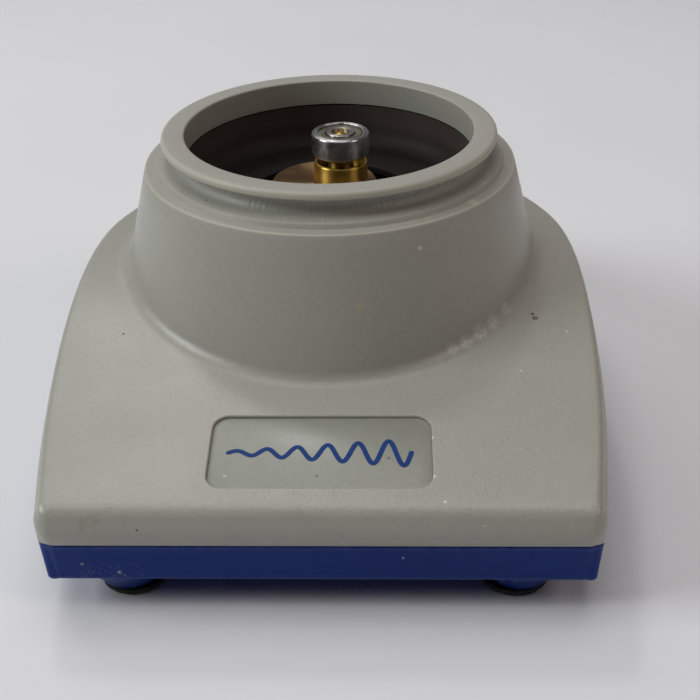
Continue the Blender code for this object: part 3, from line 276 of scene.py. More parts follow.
def grey_abs():
    """Moulded warm grey plastic: spark-eroded grain, slow mottling, worn edges lightened partly as painted
    highlight, specks of dirt and dust.
    """
    look = Look("grey_abs", Roughness=0.5, IOR=1.5)
    x, y, z = look.split(look.place())
    from_axis = look.from_axis()
    angle = look.math("ARCTAN2", look.math("SUBTRACT", y, SPINDLE_Y), x)
    fine = look.noise(900, 3, 0.65)
    colour = look.mottle((0.366, 0.354, 0.308), (0.344, 0.335, 0.296), 28, 3, 0.55)
    yellow = look.span(look.noise(17, distortion=0.6), 0.52, 0.75, 0, 0.45)
    colour = look.mix(yellow, colour, (0.372, 0.350, 0.285))
    colour = look.mix(look.span(fine, 0.3, 0.7, 0, 0.22), colour, (0.25, 0.245, 0.225))

    # The outer edges and the ring are rubbed pale, and so is the ledge round the cone's top; the paleness is
    # partly wear and partly painted highlight where the edges catch the light
    outside = look.math("MAXIMUM", look.span(from_axis, 68 * MM, 72 * MM), look.span(z, 59 * MM, 61 * MM))
    patchy = look.span(look.noise(160, 3, 0.6), 0.35, 0.6, 0.35, 0.8)
    colour = look.mix(look.times(edge_wear_and_sheen(look), patchy, outside), colour, (0.50, 0.475, 0.40))
    smudge = look.span(look.noise(42, 4, 0.6, distortion=1.2), 0.6, 0.78, 0, 0.22)
    colour = look.mix(smudge, colour, (0.24, 0.235, 0.215))
    # Painted highlight along the lip's outer rim and the ledge's edge, in a worn tone
    rim = look.times(look.span(from_axis, 36.9 * MM, 37.5 * MM), look.span(z, 68.3 * MM, 68.8 * MM))
    ledge_highlight = look.times(look.span(from_axis, 41.2 * MM, 41.7 * MM), look.span(z, 62.2 * MM, 62.5 * MM))
    colour = look.stain(colour, look.math("MAXIMUM", rim, ledge_highlight), 0.6, (0.47, 0.435, 0.345))

    # Marks of use, and a painted highlight on the cone's fillet
    colour = look.spots(colour, SCUFFS, 700, (0.43, 0.37, 0.22), 0.5)
    colour = look.spots(colour, SMUDGES, 1100, (0.25, 0.23, 0.19), 0.3)
    dirt = look.spread(SPECKS, 1800)
    colour = look.mix(dirt, colour, (0.075, 0.065, 0.045))
    # Pale scuffs and a painted highlight along the fillet at the cone's right
    colour = look.spots(colour, FILLET_SCUFFS_AND_SHEEN, 1500, (0.60, 0.60, 0.58), 0.4)
    colour = look.spots(colour, DUST, 2600, (0.68, 0.67, 0.63), 0.85)

    # The mould's parting line down the front of the ring
    thin = look.span(look.math("ABSOLUTE", x), 0.05 * MM, 0.16 * MM, 1, 0)
    line = look.times(thin, look.span(z, 62.3 * MM, 62.6 * MM), look.span(y, 0, -10 * MM))
    colour = look.stain(colour, line, 0.3, (0.55, 0.54, 0.49))

    # Fine upright tool marks round the neck
    in_neck = look.band(z, 64.1 * MM, 64.8 * MM, 67.6 * MM, 68.2 * MM)
    outer_side = look.span(from_axis, 34.5 * MM, 35 * MM)
    broken = look.span(look.noise(240), 0.35, 0.65)
    marks = look.times(look.math("SINE", look.times(angle, 170.0)), in_neck, outer_side, broken)
    colour = look.mix(look.span(marks, 0.1, 0.9, 0, 0.22), colour, (0.5, 0.49, 0.45))

    # A broken scuffed line under the lip, at the right
    off_line = look.math("ABSOLUTE", look.math("SUBTRACT", z, 66.6 * MM))
    scuffed = look.times(
        look.span(off_line, 0.06 * MM, 0.2 * MM, 1, 0),
        look.band(angle, -1.15, -1.05, -0.6, -0.5),
        look.span(look.noise(420), 0.42, 0.58),
    )
    colour = look.stain(colour, scuffed, 0.8, (0.62, 0.61, 0.58))

    # The ring is smoother than the apron, and the grain fades up the cone
    upward = look.split(look.add("ShaderNodeNewGeometry", "Normal"))[2]
    rough_area = look.times(look.span(z, 36 * MM, 60 * MM, 1.0, 0.3), look.span(upward, 0.3, 0.85, 0.3, 1.0))
    normal = look.bump(look.noise(1700, 2, 0.55), 0.13 * MM, look.times(rough_area, 0.65))
    normal = look.bump(fine, 0.04 * MM, 0.35, normal)
    normal = look.bump(marks, 0.05 * MM, 0.6, normal)
    normal = look.bump(line, 0.04 * MM, 0.6, normal)
    roughness = look.math("ADD", look.uneven(60, 0.31, 0.38), look.times(dirt, 0.3))
    roughness = look.math("ADD", roughness, look.span(z, 58 * MM, 62 * MM, 0, 0.16))
    return look.finish(Base_Color=colour, Roughness=roughness, Normal=normal)


def blue_abs():
    """Moulded blue plastic, satin, with pale scuffs along its lower front edge and a painted highlight round
    its bottom edge.
    """
    look = Look("blue_abs", Roughness=0.38, IOR=1.5, Specular_IOR_Level=0.13)
    x, _, z = look.split(look.place())
    colour = look.mottle((0.006, 0.028, 0.185), (0.005, 0.025, 0.165), 35)
    worn = look.times(edge_wear_and_sheen(look, 0.52, 0.57), look.span(look.noise(300, 3), 0.4, 0.6, 0.2, 0.7))
    colour = look.mix(worn, colour, (0.06, 0.08, 0.24))
    low = look.span(z, 9.0 * MM, 14 * MM, 1, 0)
    left = look.band(x, -51 * MM, -45 * MM, -37 * MM, -31 * MM)
    flecks = look.times(look.span(look.noise(2200, 3, 0.7), 0.6, 0.66), low, left)
    colour = look.stain(colour, flecks, 0.45, (0.5, 0.48, 0.44))
    colour = look.spots(colour, CHIPS, 3400, (0.6, 0.6, 0.58), 0.7)
    # Painted highlight on the rounding of the bottom edge
    lower_edge_highlight = look.band(z, 7.9 * MM, 8.3 * MM, 8.6 * MM, 9.2 * MM)
    colour = look.stain(colour, lower_edge_highlight, 0.35, (0.06, 0.085, 0.26))
    normal = look.bump(look.noise(1100, 2, 0.6), 0.03 * MM, 0.25)
    scratch = look.stretched_noise((60.0, 1500.0, 1500.0), 2.0, (0.0, 0.5, 0.2))
    normal = look.bump(look.span(scratch, 0.62, 0.7), 0.01 * MM, 0.3, normal)
    return look.finish(Base_Color=colour, Roughness=look.uneven(80, 0.3, 0.42), Normal=normal)


def black_plastic():
    """Black moulded plastic with a satin skin and a faint brown cast, with painted shade darkest at the
    well's floor.
    """
    look = Look("black_plastic", Roughness=0.6, IOR=1.5, Specular_IOR_Level=0.12)
    colour = look.mottle((0.050, 0.038, 0.033), (0.066, 0.052, 0.045), 60, low=0.3, high=0.7)
    # Painted shade: darker towards the bottom of the well, nearly black at its floor
    low = look.span(look.split(look.place())[2], LINER_FLOOR, LINER_FLOOR + 6 * MM, 0.88, 0)
    colour = look.mix(low, colour, (0.004, 0.003, 0.003))
    dust = look.times(look.span(look.cells(260), 0.03, 0.05, 1, 0), look.span(look.noise(90, 1), 0.6, 0.63))
    colour = look.stain(colour, dust, 0.3, (0.22, 0.2, 0.18))
    normal = look.bump(look.noise(1400, 3, 0.6), 0.03 * MM, 0.35)
    return look.finish(Base_Color=colour, Roughness=look.uneven(70, 0.52, 0.66), Normal=normal)


def label():
    """A pale sheet behind a clear coat, smoother and greener than the casing."""
    look = Look("label", Roughness=0.3, IOR=1.5)
    colour = look.mottle((0.262, 0.266, 0.228), (0.244, 0.247, 0.210), 50)
    colour = look.mix(look.span(look.noise(700, 3), 0.4, 0.75, 0, 0.15), colour, (0.38, 0.39, 0.36))
    colour = look.spots(colour, PLATE_SPECKS, 2600, (0.07, 0.045, 0.03), 0.9)
    colour = look.spots(colour, PLATE_DUST, 3400, (0.66, 0.66, 0.63), 0.8)
    normal = look.bump(look.noise(500), 0.02 * MM, 0.3)
    return look.finish(Base_Color=colour, Roughness=look.uneven(90, 0.30, 0.36), Normal=normal)


def print_ink():
    """Blue ink, printed a little unevenly."""
    look = Look("print_ink", Roughness=0.5, IOR=1.5, Specular_IOR_Level=0.2)
    thin = look.span(look.noise(900, 3, 0.6), 0.35, 0.7, 0, 0.4)
    colour = look.mix(thin, (0.002, 0.033, 0.17), (0.006, 0.046, 0.20))
    return look.finish(Base_Color=colour, Normal=look.bump(look.noise(1200), 0.01 * MM, 0.3))


def black_rubber():
    """Rubber pads, matt and a little dusty at their rims."""
    look = Look("black_rubber", Roughness=0.8, IOR=1.5)
    z = look.split(look.place())[2]
    colour = look.mottle((0.007, 0.007, 0.007), (0.022, 0.02, 0.018), 220, 4, 0.65, 0.35, 0.7)
    low = look.span(z, 0.2 * MM, 1.2 * MM, 1, 0.2)
    dust = look.times(look.span(look.noise(800, 3, 0.7), 0.58, 0.66), low)
    colour = look.stain(colour, dust, 0.5, (0.2, 0.17, 0.13))
    normal = look.bump(look.noise(1500, 3), 0.05 * MM, 0.6)
    return look.finish(Base_Color=colour, Roughness=look.uneven(300, 0.7, 0.9), Normal=normal)


def turned(name, colours, roughness, centre_x, tarnish, ring_height):
    """Lathe-turned metal: fine rings round the piece's own axis, with patches of tarnish."""
    look = Look(
        name, Metallic=1.0, Roughness=roughness, Anisotropic=0.85, Anisotropic_Rotation=ROUND_THE_AXIS
    )
    z = look.split(look.place())[2]
    walk = look.math("ADD", look.from_axis(centre_x), z)
    wander = look.times(look.noise(300), 0.25 * MM)
    rings = look.math("SINE", look.times(look.math("ADD", walk, wander), 2 * math.pi / TOOL_PITCH))
    along_walk = look.add("ShaderNodeCombineXYZ", X=look.times(walk, 9000.0))
    fine = look.add("ShaderNodeTexNoise", Vector=along_walk, Scale=1.0, Detail=2.0)
    colour = look.mottle(*colours, 350, 4, 0.6, 0.35, 0.7)
    stained = look.span(look.noise(130, 4, 0.6, distortion=0.8), 0.52, 0.72, 0, 0.75)
    colour = look.mix(stained, colour, tarnish)
    normal = look.bump(rings, ring_height, 0.5)
    normal = look.bump(fine, ring_height, 0.4, normal)
    rough = look.uneven(260, roughness * 0.8, roughness * 1.35, 3)
    return look.finish(Base_Color=colour, Roughness=rough, Normal=normal)


def steel(name, tint, roughness, patches, anisotropic=0.0):
    """Ground or plated metal with fine scratches round it and slight stains."""
    look = Look(
        name, Metallic=1.0, Roughness=roughness, Anisotropic=anisotropic, Anisotropic_Rotation=ROUND_THE_AXIS
    )
    colour = look.mottle(tint, patches, 400, 4, 0.6, 0.4, 0.75)
    normal = look.bump(look.stretched_noise((500.0, 500.0, 7000.0), 3.0), 0.006 * MM, 0.4)
    rough = look.uneven(500, roughness * 0.8, roughness * 1.4, 3)
    return look.finish(Base_Color=colour, Roughness=rough, Normal=normal)


def coated(name, first, second, roughness, metallic=0.0):
    """A plain coated, sintered or insulated surface, mottled and finely pitted."""
    look = Look(name, Roughness=roughness, Metallic=metallic)
    colour = look.mottle(first, second, 180, 4, 0.6)
    rough = look.uneven(240, roughness * 0.85, min(roughness * 1.2, 1.0), 3)
    normal = look.bump(look.noise(1300, 3), 0.03 * MM, 0.4)
    return look.finish(Base_Color=colour, Roughness=rough, Normal=normal)


# The share of a spot's reach over which it is whole
SPOT_CORE = 0.6
# A quarter turn lays the stretched highlights of turned metal along its axis
ROUND_THE_AXIS = 0.25
TOOL_PITCH = 0.33 * MM

# Marks of use and a painted highlight, each as a place in mm and a reach in mm
SPECKS = [
    ((45.0, -24.1, 37.2), 0.8), ((44.5, -22.8, 37.5), 0.6), ((43.9, -13.2, 40.8), 0.5),
    ((-44.0, -28.75, 36.2), 0.4), ((-24.7, -21.8, 64.4), 0.35), ((-3.1, -30.2, 65.05), 0.4),
    ((11.4, -28.1, 65.6), 0.3), ((-26.45, -18.0, 66.8), 0.35), ((-33.8, -77.7, 22.3), 0.35),
]
DUST = [
    ((51.4, -28.2, 36.3), 0.4), ((40.6, -40.3, 33.8), 0.4), ((23.6, -74.6, 26.5), 0.4),
    ((26.9, -75.1, 26.2), 0.3), ((30.9, -77.4, 23.3), 0.4), ((19.6, -32.4, 58.2), 0.6),
    ((21.66, -58.6, 29.75), 0.5), ((21.74, -68.4, 27.8), 0.6),
]
SCUFFS = [((7.3, -39.0, 48.5), 1.3)]
FILLET_SCUFFS_AND_SHEEN = [
    ((26.7, -35.2, 36.3), 1.6), ((29.6, -33.0, 36.7), 1.9), ((32.7, -30.3, 37.3), 2.1),
    ((35.7, -27.0, 38.1), 2.1), ((38.7, -22.9, 39.1), 1.7),
]
SMUDGES = [((-43.5, -77.6, 23.5), 2.2), ((-41.6, -77.2, 24.6), 1.4)]
CHIPS = [((-45.8, -76.1, 12.6), 0.4), ((15.8, -76.4, 14.5), 0.35), ((-38.8, -75.9, 10.3), 0.5)]
PLATE_SPECKS = [((13.2, -63.3, 28.3), 0.35), ((-0.5, -67.8, 27.4), 0.35)]
PLATE_DUST = [((-18.1, -67.8, 27.4), 0.4)]

BRASS = ((0.64, 0.42, 0.10), (0.52, 0.33, 0.07))
DULL_BRASS = ((0.40, 0.26, 0.135), (0.31, 0.20, 0.10))

LOOKS = {
    "grey_abs": grey_abs(),
    "blue_abs": blue_abs(),
    "black_plastic": black_plastic(),
    "label": label(),
    "black_rubber": black_rubber(),
    "brass": turned("brass", BRASS, 0.38, ECCENTRICITY, (0.34, 0.21, 0.07), 0.012 * MM),
    "bearing_steel": steel("bearing_steel", (0.66, 0.65, 0.66), 0.40, (0.52, 0.50, 0.49), 0.9),
    "zinc_steel": steel("zinc_steel", (0.56, 0.57, 0.60), 0.3, (0.42, 0.41, 0.37)),
    "magnet": coated("magnet", (0.05, 0.05, 0.055), (0.07, 0.07, 0.075), 0.6),
    "copper": steel("copper", (0.62, 0.28, 0.14), 0.35, (0.45, 0.18, 0.08)),
    "black_steel": coated("black_steel", (0.02, 0.02, 0.022), (0.035, 0.033, 0.032), 0.42, 0.8),
    "red_wire": coated("red_wire", (0.42, 0.012, 0.01), (0.33, 0.01, 0.01), 0.42),
    "black_wire": coated("black_wire", (0.01, 0.01, 0.01), (0.018, 0.017, 0.016), 0.42),
}
INK = print_ink()
SHIELD = steel("shield_steel", (0.27, 0.255, 0.185), 0.36, (0.21, 0.19, 0.135))
POLISHED = steel("polished_steel", (0.50, 0.49, 0.50), 0.30, (0.43, 0.41, 0.40), 0.87)
DISC_BRASS = turned("disc_brass", DULL_BRASS, 0.5, DISC_OFFSET, (0.23, 0.145, 0.085), 0.006 * MM)

for entry in frame["record"]["subparts"]:
    mesh = frame["nodes"][entry["node"]].data
    mesh.materials.clear()
    mesh.materials.append(LOOKS[entry["material_slot"]])


# ---------------------------------------------------------------- mesh helpers

SHARP_ANGLE = math.radians(38)
NEARLY_STRAIGHT = math.radians(177)
ON_AXIS = 1e-7


def on_spindle(x, y, z=0.0):
    return Vector((x, SPINDLE_Y + y, z))


PLATE_MIDDLE = on_spindle(0, PLATE_Y, APRON_AT_SPINDLE + APRON_SLOPE * PLATE_Y)
PLATE_PLACE = Matrix.Translation(PLATE_MIDDLE) @ Matrix.Rotation(math.atan(APRON_SLOPE), 4, "X")
JACK_PLACE = Matrix.Translation(on_spindle(0, JACK_SEAT_Y, JACK_Z)) @ Matrix.Rotation(-math.pi / 2, 4, "X")


def smooth(mesh):
    mesh.shade_smooth()
    mesh.set_sharp_from_angle(angle=SHARP_ANGLE)


def mesh_object(name, made):
    mesh = bpy.data.meshes.new(name)
    bmesh.ops.recalc_face_normals(made, faces=made.faces)
    made.to_mesh(mesh)
    made.free()
    obj = bpy.data.objects.new(name, mesh)
    bpy.context.scene.collection.objects.link(obj)
    smooth(mesh)
    return obj


def dress(obj, look, body, slot, *nodes):
    """Gives a finished piece its material, its body and the CAD nodes it stands for; its slot is not used."""
    obj.data.materials.clear()
    obj.data.materials.append(look)
    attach(obj, body)
    if nodes:
        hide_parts(*nodes)
    return obj


def rounded(points, steps=5, loop=False):
    """A profile with its corners rounded. Each entry is (radius, z) or (radius, z, corner radius).

    The first and last entries stay sharp, unless the profile is a loop.
    """
    count = len(points)
    out = []
    for i, entry in enumerate(points):
        here = Vector(entry[:2])
        reach = entry[2] if len(entry) > 2 else 0.0
        if not reach or (i in (0, count - 1) and not loop):
            out.append(tuple(here))
            continue
        before = (Vector(points[i - 1][:2]) - here).normalized()
        after = (Vector(points[(i + 1) % count][:2]) - here).normalized()
        between = before.angle(after)
        if between > NEARLY_STRAIGHT:
            out.append(tuple(here))
            continue
        run = reach / math.tan(between / 2)
        centre = here + (before + after).normalized() * reach / math.sin(between / 2)
        out += arc(centre, here + before * run, here + after * run, reach, steps)
    return out


def arc(centre, first, last, radius, steps):
    """Points round centre, the short way from first to last."""
    first, last = first - centre, last - centre
    start = math.atan2(first.y, first.x)
    turn = (math.atan2(last.y, last.x) - start + math.pi) % (2 * math.pi) - math.pi
    angles = [start + turn * step / steps for step in range(steps + 1)]
    return [(centre.x + radius * math.cos(angle), centre.y + radius * math.sin(angle)) for angle in angles]


def turn_profile(name, profile, where, segments=96, closed=False):
    """A closed surface of revolution about a vertical axis. An open profile starts and ends on the axis."""
    made = bmesh.new()
    rings = []
    for radius, z in profile:
        if radius < ON_AXIS:
            rings.append([made.verts.new((where[0], where[1], z))])
            continue
        ring = []
        for step in range(segments):
            angle = 2 * math.pi * step / segments
            x, y = where[0] + radius * math.cos(angle), where[1] + radius * math.sin(angle)
            ring.append(made.verts.new((x, y, z)))
        rings.append(ring)
    pairs = list(zip(rings, rings[1:]))
    if closed:
        pairs.append((rings[-1], rings[0]))
    for upper, lower in pairs:
        for step in range(segments):
            corners = [(upper, step), (upper, step + 1), (lower, step + 1), (lower, step)]
            unique = dict.fromkeys(ring[i % len(ring)] for ring, i in corners)
            made.faces.new(list(unique))
    return mesh_object(name, made)


def cylinder(name, radius, top, bottom, where, segments):
    return turn_profile(name, [(0, top), (radius, top), (radius, bottom), (0, bottom)], where, segments)


def skin(made, columns, closed, loop=True):
    grid = [[made.verts.new(point) for point in column] for column in columns]
    count = len(grid[0])
    for i, column in enumerate(grid if loop else grid[:-1]):
        following = grid[(i + 1) % len(grid)]
        for j in range(count if closed else count - 1):
            k = (j + 1) % count
            made.faces.new((column[j], column[k], following[k], following[j]))
    return grid


def tube(name, rings):
    """A closed body through rings of as many points each, with a face at either end."""
    made = bmesh.new()
    grid = skin(made, rings, closed=True, loop=False)
    made.faces.new(grid[0])
    made.faces.new(grid[-1])
    return mesh_object(name, made)


def coil_ring(centre, radius, wire, angle, sides):
    """The points round a wire, where its coil about an upright axis has come to an angle."""
    ring = []
    for side in range(sides):
        turn = 2 * math.pi * side / sides
        reach = radius + wire * math.cos(turn)
        x, y = reach * math.cos(angle), reach * math.sin(angle)
        ring.append(centre + Vector((x, y, wire * math.sin(turn))))
    return ring


def apply_boolean(obj, other, operation):
    modifier = obj.modifiers.new("Cut", "BOOLEAN")
    modifier.object = other
    modifier.operation = operation
    modifier.solver = "EXACT"
    bpy.context.view_layer.update()
    graph = bpy.context.evaluated_depsgraph_get()
    made = bpy.data.meshes.new_from_object(obj.evaluated_get(graph))
    obj.modifiers.clear()
    old = obj.data
    obj.data = made
    bpy.data.meshes.remove(old)
    bpy.data.objects.remove(other)


# ---------------------------------------------------------------- the body, finer than the CAD model's

BACK_STEPS = 44
SIDE_STEPS = 30
CORNER_STEPS = 14
FRONT_STEPS = 34
FILLET_STEPS = 10
APRON_ROWS = 16
ROUND_ROWS = 8
SIDE_ROWS = 12
EDGE_SWEEP = math.radians(86)
SEAM_CHAMFER = 0.25 * MM
SEAM_STEP = 0.08 * MM


def half_outline():
    """The right half, from the back to the front: each spot's point, its normal and any corner's mitre."""
    half = BODY_WIDTH / 2
    depth = BODY_BACK - WIDEST_Y
    spots = []
    for step in range(BACK_STEPS):
        angle = math.pi / 2 * (1 - step / BACK_STEPS)
        across, back = math.cos(angle) / half, math.sin(angle) / depth
        reach = (across**BACK_POWER + back**BACK_POWER) ** (-1 / BACK_POWER)
        point = Vector((math.cos(angle) * reach, WIDEST_Y + math.sin(angle) * reach))
        normal = Vector((across ** (BACK_POWER - 1) / half, back ** (BACK_POWER - 1) / depth)).normalized()
        spots.append((point, normal, None))
    drop = (BODY_WIDTH - FRONT_WIDTH) / 2
    run = BODY_FRONT - CORNER_RADIUS + WIDEST_Y
    radius = (run**2 + drop**2) / (2 * drop)
    end = math.asin(run / radius)
    for step in range(SIDE_STEPS):
        angle = end * step / SIDE_STEPS
        point = Vector((half - radius * (1 - math.cos(angle)), WIDEST_Y - radius * math.sin(angle)))
        spots.append((point, Vector((math.cos(angle), -math.sin(angle))), None))
    side = Vector((math.cos(end), -math.sin(end)))
    front = Vector((0, -1))
    miter = (side + front) / (1 + side.dot(front))
    corner_x = half - radius * (1 - math.cos(end)) - CORNER_RADIUS * math.cos(end)
    centre = Vector((corner_x, -BODY_FRONT + CORNER_RADIUS))
    for step in range(CORNER_STEPS + 1):
        angle = -end - (math.pi / 2 - end) * step / CORNER_STEPS
        normal = Vector((math.cos(angle), math.sin(angle)))
        spots.append((centre + normal * CORNER_RADIUS, normal, miter))
    for step in range(1, FRONT_STEPS + 1):
        spots.append((Vector((corner_x * (1 - step / FRONT_STEPS), -BODY_FRONT)), front, None))
    return spots


def outline():
    right = half_outline()
    flip = Vector((-1, 1))
    left = [(point * flip, normal * flip, miter and miter * flip) for point, normal, miter in right[1:-1]]
    return [right[0]] + left + right[:0:-1]


def inside(spot, distance):
    """The point that far in from the outline. At a corner the radius shrinks to SHARPEST and no further."""
    point, normal, miter = spot
    if miter is None or distance <= CORNER_RADIUS - SHARPEST:
        return point - normal * distance
    centre = point - normal * CORNER_RADIUS
    return centre - miter * (distance - CORNER_RADIUS + SHARPEST) + normal * SHARPEST


def ease(share):
    share = min(max(share, 0.0), 1.0)
    return share * share * (3 - 2 * share)


def blend(side, front, normal):
    """Goes from the side's value to the front's as the outline turns forward."""
    return side + (front - side) * ease((-normal.y - 0.25) / 0.7)


def apron_height(point):
    behind = max(point.y - APRON_BEND_Y, 0.0)
    bent = min(behind, APRON_BEND_LENGTH)
    return APRON_AT_SPINDLE + APRON_SLOPE * point.y - APRON_BEND * (bent**2 + 2 * bent * (behind - bent))


def edge_rows(spot):
    """The rows over the apron's edge and down the side to the seam."""
    radius = blend(SIDE_EDGE_RADIUS, FRONT_EDGE_RADIUS, spot[1])
    top_inset = blend(TOP_INSET_SIDE, TOP_INSET_FRONT, spot[1])
    seam_inset = blend(SEAM_INSET_SIDE, SEAM_INSET_FRONT, spot[1])
    rows = []
    for step in range(ROUND_ROWS + 1):
        angle = EDGE_SWEEP * step / ROUND_ROWS
        point = inside(spot, top_inset + radius * (1 - math.sin(angle)))
        rows.append((point, apron_height(point) - radius * (1 - math.cos(angle))))
    top = rows[-1][1]
    for step in range(1, SIDE_ROWS + 1):
        share = step / SIDE_ROWS
        if share < WIDEST_AT:
            inset = top_inset * (1 - share / WIDEST_AT) ** 2
        else:
            inset = seam_inset * ((share - WIDEST_AT) / (1 - WIDEST_AT)) ** 2
        rows.append((inside(spot, inset), top + (SEAM + SEAM_CHAMFER - top) * share))
    rows.append((inside(spot, seam_inset + SEAM_STEP), SEAM + SEAM_STEP))
    rows.append((inside(spot, seam_inset + 0.3 * MM), SEAM))
    return rows


def meet_apron(direction, lift=0.0, inward=0.0):
    """Where the cone comes down on the apron, found by going back and forth between the two."""
    radius = CONE_TOP_RADIUS
    for _ in range(12):
        z = apron_height(direction * radius) - lift
        radius = CONE_TOP_RADIUS + CONE_FLARE * (CONE_TOP - z) - inward
    return radius, z


def fillet_rows(direction):
    radius, z = meet_apron(direction)
    corner = Vector((radius, z))
    up = Vector((-CONE_FLARE, 1)).normalized()
    out = Vector((MM, apron_height(direction * (radius + MM)) - z)).normalized()
    between = up.angle(out)
    reach = CONE_FILLET / math.tan(between / 2)
    centre = corner + (up + out).normalized() * CONE_FILLET / math.sin(between / 2)
    return arc(centre, corner + up * reach, corner + out * reach, CONE_FILLET, FILLET_STEPS)


RING = rounded(
    [
        (REBATE_RADIUS, REBATE_Z),
        (LIP_INNER, REBATE_Z, 0.15 * MM),
        (LIP_INNER, LIP_TOP, 0.45 * MM),
        (LIP_OUTER, LIP_TOP, 0.95 * MM),
        (LIP_OUTER, LIP_UNDER, 0.4 * MM),
        (NECK_RADIUS, 68.0 * MM, 0.4 * MM),
        (NECK_RADIUS, 64.7 * MM, 2.3 * MM),
        (38.85 * MM, 63.95 * MM, 0.7 * MM),
        (39.45 * MM, 62.82 * MM, 0.22 * MM),
        (41.85 * MM, 62.72 * MM, 0.3 * MM),
        (CONE_TOP_RADIUS + CONE_FLARE * 2.4 * MM, CONE_TOP - 2.4 * MM),
    ],
    7,
)


def casing_column(spot):
    """A section of the casing, from the ring's rebate over the outside and back along the inside."""
    edge = edge_rows(spot)
    toward = edge[0][0].normalized()
    column = [(toward * radius, z) for radius, z in RING]
    column += [(toward * radius, z) for radius, z in fillet_rows(toward)]
    last = column[-1][0]
    for step in range(1, APRON_ROWS):
        point = last.lerp(edge[0][0], step / APRON_ROWS)
        column.append((point, apron_height(point)))
    column += edge
    column.append((inside(spot, blend(SEAM_INSET_SIDE, SEAM_INSET_FRONT, spot[1]) + WALL), SEAM))
    thickness = WALL * math.hypot(1, APRON_SLOPE)
    high = inside(spot, TOP_INSET_SIDE + WALL + 0.6 * MM)
    ceiling = apron_height(high) - thickness
    column.append((high, ceiling))
    radius, z = meet_apron(toward, lift=thickness, inward=WALL)
    radius = min(radius, high.length - 0.25 * MM)
    column.append((toward * radius, z))
    shoulder = CONE_TOP_RADIUS + CONE_FLARE * (CONE_TOP - SHOULDER_UNDERSIDE) - WALL
    column.append((toward * shoulder, SHOULDER_UNDERSIDE))
    column.append((toward * REBATE_RADIUS, SHOULDER_UNDERSIDE))
    return [on_spindle(point.x, point.y, z) for point, z in column]


def plate_stack(name, levels):
    """A closed block with the nameplate's outline, through (inset, height over the apron) levels."""
    rings = []
    for inset, z in levels:
        radius = max(PLATE_CORNER - inset, 0.05 * MM)
        ring = []
        for sx, sy, start in ((1, 1, 0), (-1, 1, 90), (-1, -1, 180), (1, -1, 270)):
            for step in range(13):
                angle = math.radians(start + 7.5 * step)
                x = sx * (PLATE_WIDTH / 2 - PLATE_CORNER) + radius * math.cos(angle)
                y = sy * (PLATE_LENGTH / 2 - PLATE_CORNER) + radius * math.sin(angle)
                ring.append(PLATE_PLACE @ Vector((x, y, z)))
        rings.append(ring)
    return tube(name, rings)


def casing():
    made = bmesh.new()
    skin(made, [casing_column(spot) for spot in outline()], closed=True)
    obj = mesh_object("casing_shell", made)
    brow, brow_steps = 0.4 * MM, 6
    levels = [(0, -PLATE_DEPTH)]
    for step in range(brow_steps):
        angle = math.pi / 2 * step / brow_steps
        levels.append((-brow * (1 - math.cos(angle)), -brow * (1 - math.sin(angle))))
    levels += [(-brow * 1.05, 0.02 * MM), (-brow * 1.5, 2 * MM)]
    apply_boolean(obj, plate_stack("recess", levels), "DIFFERENCE")
    wide = JACK_BEZEL + 0.3 * MM
    seat = [(0, 6 * MM), (wide + 0.6 * MM, 6 * MM), (wide, 1.2 * MM), (wide, -0.3 * MM), (0, -0.3 * MM)]
    hole = cylinder("hole", JACK_THREAD + 0.3 * MM, 8 * MM, -8 * MM, (0, 0), 48)
    for cutter in (hole, turn_profile("face", seat, (0, 0), 64)):
        cutter.data.transform(JACK_PLACE)
        apply_boolean(obj, cutter, "DIFFERENCE")
    smooth(obj.data)
    sharpen_brow(obj.data)
    return dress(obj, LOOKS["grey_abs"], "housing", "grey_abs", "top_casing")


def sharpen_brow(mesh):
    """Splits the shading where the recess meets the apron, so that its slim faces don't tint the big ones."""
    to_apron = PLATE_PLACE.inverted()
    places = [to_apron @ vertex.co for vertex in mesh.vertices]
    for edge in mesh.edges:
        near = all(
            abs(places[i].z) < 0.03 * MM
            and abs(places[i].x) < PLATE_WIDTH / 2 + MM
            and abs(places[i].y) < PLATE_LENGTH / 2 + MM
            for i in edge.vertices
        )
        edge.use_edge_sharp = edge.use_edge_sharp or near


